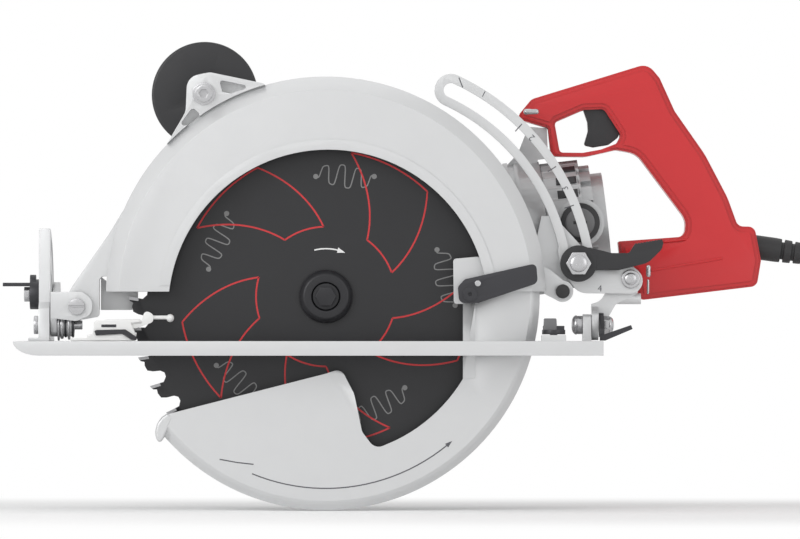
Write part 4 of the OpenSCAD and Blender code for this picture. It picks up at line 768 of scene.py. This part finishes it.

# Bevel axis: three washers at the front, by their place, radius and width, dark rings that paint the shade in
# the gaps beside them, and domes at the rear
FRONT_WASHERS = ((-175.8, 10.4, 1.4), (-173.6, 9.2, 2.2), (-169.0, 9.8, 1.6))
washers = [washer_x(x, 6.0, r, width) for x, r, width in FRONT_WASHERS]
placed(joined("front_washers", washers), STEEL, "bevel_frame")
# Dark rings: painted shade in the gaps between the washers.
GAP_SHADE_RINGS_X = (-171.2, -166.4)
gap_shade_rings = [washer_x(x, 5.6, 8.3, 1.6) for x in GAP_SHADE_RINGS_X]
placed(joined("front_washer_gap_shade", gap_shade_rings), DARK_STEEL, "bevel_frame")
REAR_BOLT_X = 164.9
rear_nut_x = reach("bevel_pivot_bolts")[1][0] - 0.3
placed(dome_x("rear_bolt_dome", (REAR_BOLT_X, BLADE_Y, BEVEL_Z), 6.4, -3.4), STEEL, "bevel_frame")
placed(dome_x("rear_nut_dome", (rear_nut_x, BLADE_Y, BEVEL_Z), 5.6, 3.2), STEEL, "bevel_frame")

# Depth arm: the domed faces of its lock bolt and of its rivet
placed(crown_y("lock_bolt_crown", "depth_lock_bolt", 5.8, 1.6), STEEL, "saw_body")
placed(crown_y("arm_rivet_crown", "arm_rivet", 4.2, 1.4), STEEL, "bevel_frame")

# Depth lever: the grip's serrations
SERRATIONS = ((204.0, 73.0), (220.5, 75.7))
SERRATION_R = 0.85
SERRATION_INSET = 1.2
lever_low, lever_high = reach("depth_lever")
near_y, far_y = lever_low[1] + SERRATION_INSET, lever_high[1] - SERRATION_INSET
serrations = [
    capsule("tooth", (x, near_y, z), (x, far_y, z), SERRATION_R, 10) for x, z in np.linspace(*SERRATIONS, 10)]
placed(joined("lever_serrations", serrations), BLACK, "depth_lever")

# Handle: three bright fittings let into its near side, by their ends, depth and radius
FITTINGS = (
    ((132.6, 161.4), (139.0, 161.6), 1.0, 2.1),
    ((213.4, 53.4), (213.4, 58.4), 1.0, 1.9),
    ((213.1, 41.6), (213.2, 49.6), 0.6, 1.0),
)
fittings = [
    capsule("fitting", (a[0], HANDLE_FACE + depth, a[1]), (b[0], HANDLE_FACE + depth, b[1]), r)
    for a, b, depth, r in FITTINGS]
placed(joined("handle_fittings", fittings), STEEL, "saw_body")

# Fence knob: its raised bar
knob_low, knob_high = reach("fence_knob")
bar_z = (knob_high[2] - 3.6, 24.4)
bar_outline = [(142.4, bar_z[0]), (151.4, bar_z[0]), (151.0, bar_z[1]), (142.8, bar_z[1])]
knob_bar = prism_y("knob_bar", bar_outline, knob_low[1] + 4.4, knob_high[1] - 4.4)
placed(softened(knob_bar, 0.8), DISC_GREY, "fence_knob")

# Lower guard: its rolled leading lip
ROLLED_LIP = [
    (-103.6, -37.4), (-108.0, -40.6), (-111.0, -45.0), (-112.2, -50.4), (-111.4, -55.2), (-108.8, -57.4),
    (-106.4, -54.0), (-103.4, -47.6), (-100.4, -41.0),
]
rolled_lip = prism_y("rolled_lip", ROLLED_LIP, GUARD_FACE - 0.4, GUARD_FACE + 20)
placed(softened(rolled_lip, 2.0, 5), SILVER, "lower_guard")


# Floor, backdrop and light


# Half the length and width of the floor's shaded oval, in metres, and where beyond it the floor is white
NEAR = (0.45, 0.22)
WHITE_FROM, WHITE_AT = 1.0, 2.4


def rays_shown(nodes, links):
    """1 for the camera's rays and for those off metal and through glass, so that all of them see white."""
    ray = nodes.new("ShaderNodeLightPath")
    total = ray.outputs["Is Camera Ray"]
    for name in ("Is Glossy Ray", "Is Transmission Ray"):
        either = nodes.new("ShaderNodeMath")
        either.operation = "MAXIMUM"
        links.new(total, either.inputs[0])
        links.new(ray.outputs[name], either.inputs[1])
        total = either.outputs["Value"]
    return total


def floor_finish(name):
    """A pale floor that keeps the saw's shadow, and turns white from WHITE_FROM to WHITE_AT times NEAR."""
    material = bpy.data.materials.new(name)
    material.use_nodes = True
    tree = material.node_tree
    nodes, links = tree.nodes, tree.links
    shader = nodes["Principled BSDF"]
    shader.inputs["Base Color"].default_value = (0.9, 0.9, 0.9, 1)
    shader.inputs["Roughness"].default_value = 0.9
    shader.inputs["Emission Color"].default_value = (1, 1, 1, 1)
    shader.inputs["Emission Strength"].default_value = 0.12
    place = nodes.new("ShaderNodeTexCoord")
    scaled = nodes.new("ShaderNodeMapping")
    scaled.inputs["Scale"].default_value = (1 / NEAR[0], 1 / NEAR[1], 0)
    links.new(place.outputs["Object"], scaled.inputs["Vector"])
    distance = nodes.new("ShaderNodeVectorMath")
    distance.operation = "LENGTH"
    links.new(scaled.outputs["Vector"], distance.inputs[0])
    far = nodes.new("ShaderNodeMapRange")
    far.interpolation_type = "SMOOTHSTEP"
    far.inputs["From Min"].default_value = WHITE_FROM
    far.inputs["From Max"].default_value = WHITE_AT
    links.new(distance.outputs["Value"], far.inputs["Value"])
    shown = nodes.new("ShaderNodeMath")
    shown.operation = "MULTIPLY"
    links.new(far.outputs["Result"], shown.inputs[0])
    links.new(rays_shown(nodes, links), shown.inputs[1])
    white = nodes.new("ShaderNodeEmission")
    white.inputs["Color"].default_value = (1, 1, 1, 1)
    both = nodes.new("ShaderNodeMixShader")
    links.new(shown.outputs["Value"], both.inputs[0])
    links.new(shader.outputs["BSDF"], both.inputs[1])
    links.new(white.outputs["Emission"], both.inputs[2])
    links.new(both.outputs["Shader"], nodes["Material Output"].inputs["Surface"])
    return material


FLOOR_HALF = 3500.0
FLOOR_GAP = 0.3
SQUARE = ((-1, -1), (1, -1), (1, 1), (-1, 1))
corners = [(x * FLOOR_HALF, y * FLOOR_HALF, FLOOR_Z - FLOOR_GAP) for x, y in SQUARE]
floor = new_object("floor", corners, [(0, 1, 2, 3)])
floor.data.materials.append(floor_finish("floor_white"))


def softbox(name, place, target, size, watts):
    """A square area lamp at place, in metres, that faces target."""
    lamp = bpy.data.lights.new(name, "AREA")
    lamp.size = size
    lamp.energy = watts
    holder = bpy.data.objects.new(name, lamp)
    bpy.context.scene.collection.objects.link(holder)
    holder.location = place
    holder.rotation_mode = "QUATERNION"
    holder.rotation_quaternion = (Vector(target) - Vector(place)).to_track_quat("-Z", "Y")


SAW_MIDDLE = (0.05, 0.03, 0.05)
GUARD_MIDDLE = (-0.05, 0.03, 0.05)
softbox("key", (-0.9, -1.0, 0.55), GUARD_MIDDLE, 0.8, 7)
softbox("fill", (1.6, -1.6, 0.5), SAW_MIDDLE, 1.2, 5)
softbox("top", (0.1, 0.5, 1.9), SAW_MIDDLE, 1.4, 3)

world = bpy.data.worlds.new("studio")
world.use_nodes = True
nodes, links = world.node_tree.nodes, world.node_tree.links
nodes["Background"].inputs["Color"].default_value = (1, 1, 1, 1)
# The room is lightest towards FRONT and dims away from it, so that the castings' bevels and edges read
FRONT = (-0.42, -0.88, 0.22)
ROOM_DIM, ROOM_LIGHT = 0.12, 0.92
sky = nodes.new("ShaderNodeTexCoord")
facing = nodes.new("ShaderNodeVectorMath")
facing.operation = "DOT_PRODUCT"
facing.inputs[1].default_value = FRONT
links.new(sky.outputs["Generated"], facing.inputs[0])
room = nodes.new("ShaderNodeMapRange")
room.inputs["From Min"].default_value = -1.0
room.inputs["From Max"].default_value = 1.0
room.inputs["To Min"].default_value = ROOM_DIM
room.inputs["To Max"].default_value = ROOM_LIGHT
links.new(facing.outputs["Value"], room.inputs["Value"])
level = nodes.new("ShaderNodeMix")
level.inputs["B"].default_value = 1.0
links.new(rays_shown(nodes, links), level.inputs["Factor"])
links.new(room.outputs["Result"], level.inputs["A"])
links.new(level.outputs["Result"], nodes["Background"].inputs["Strength"])
bpy.context.scene.world = world
bpy.context.scene.view_settings.view_transform = "Standard"
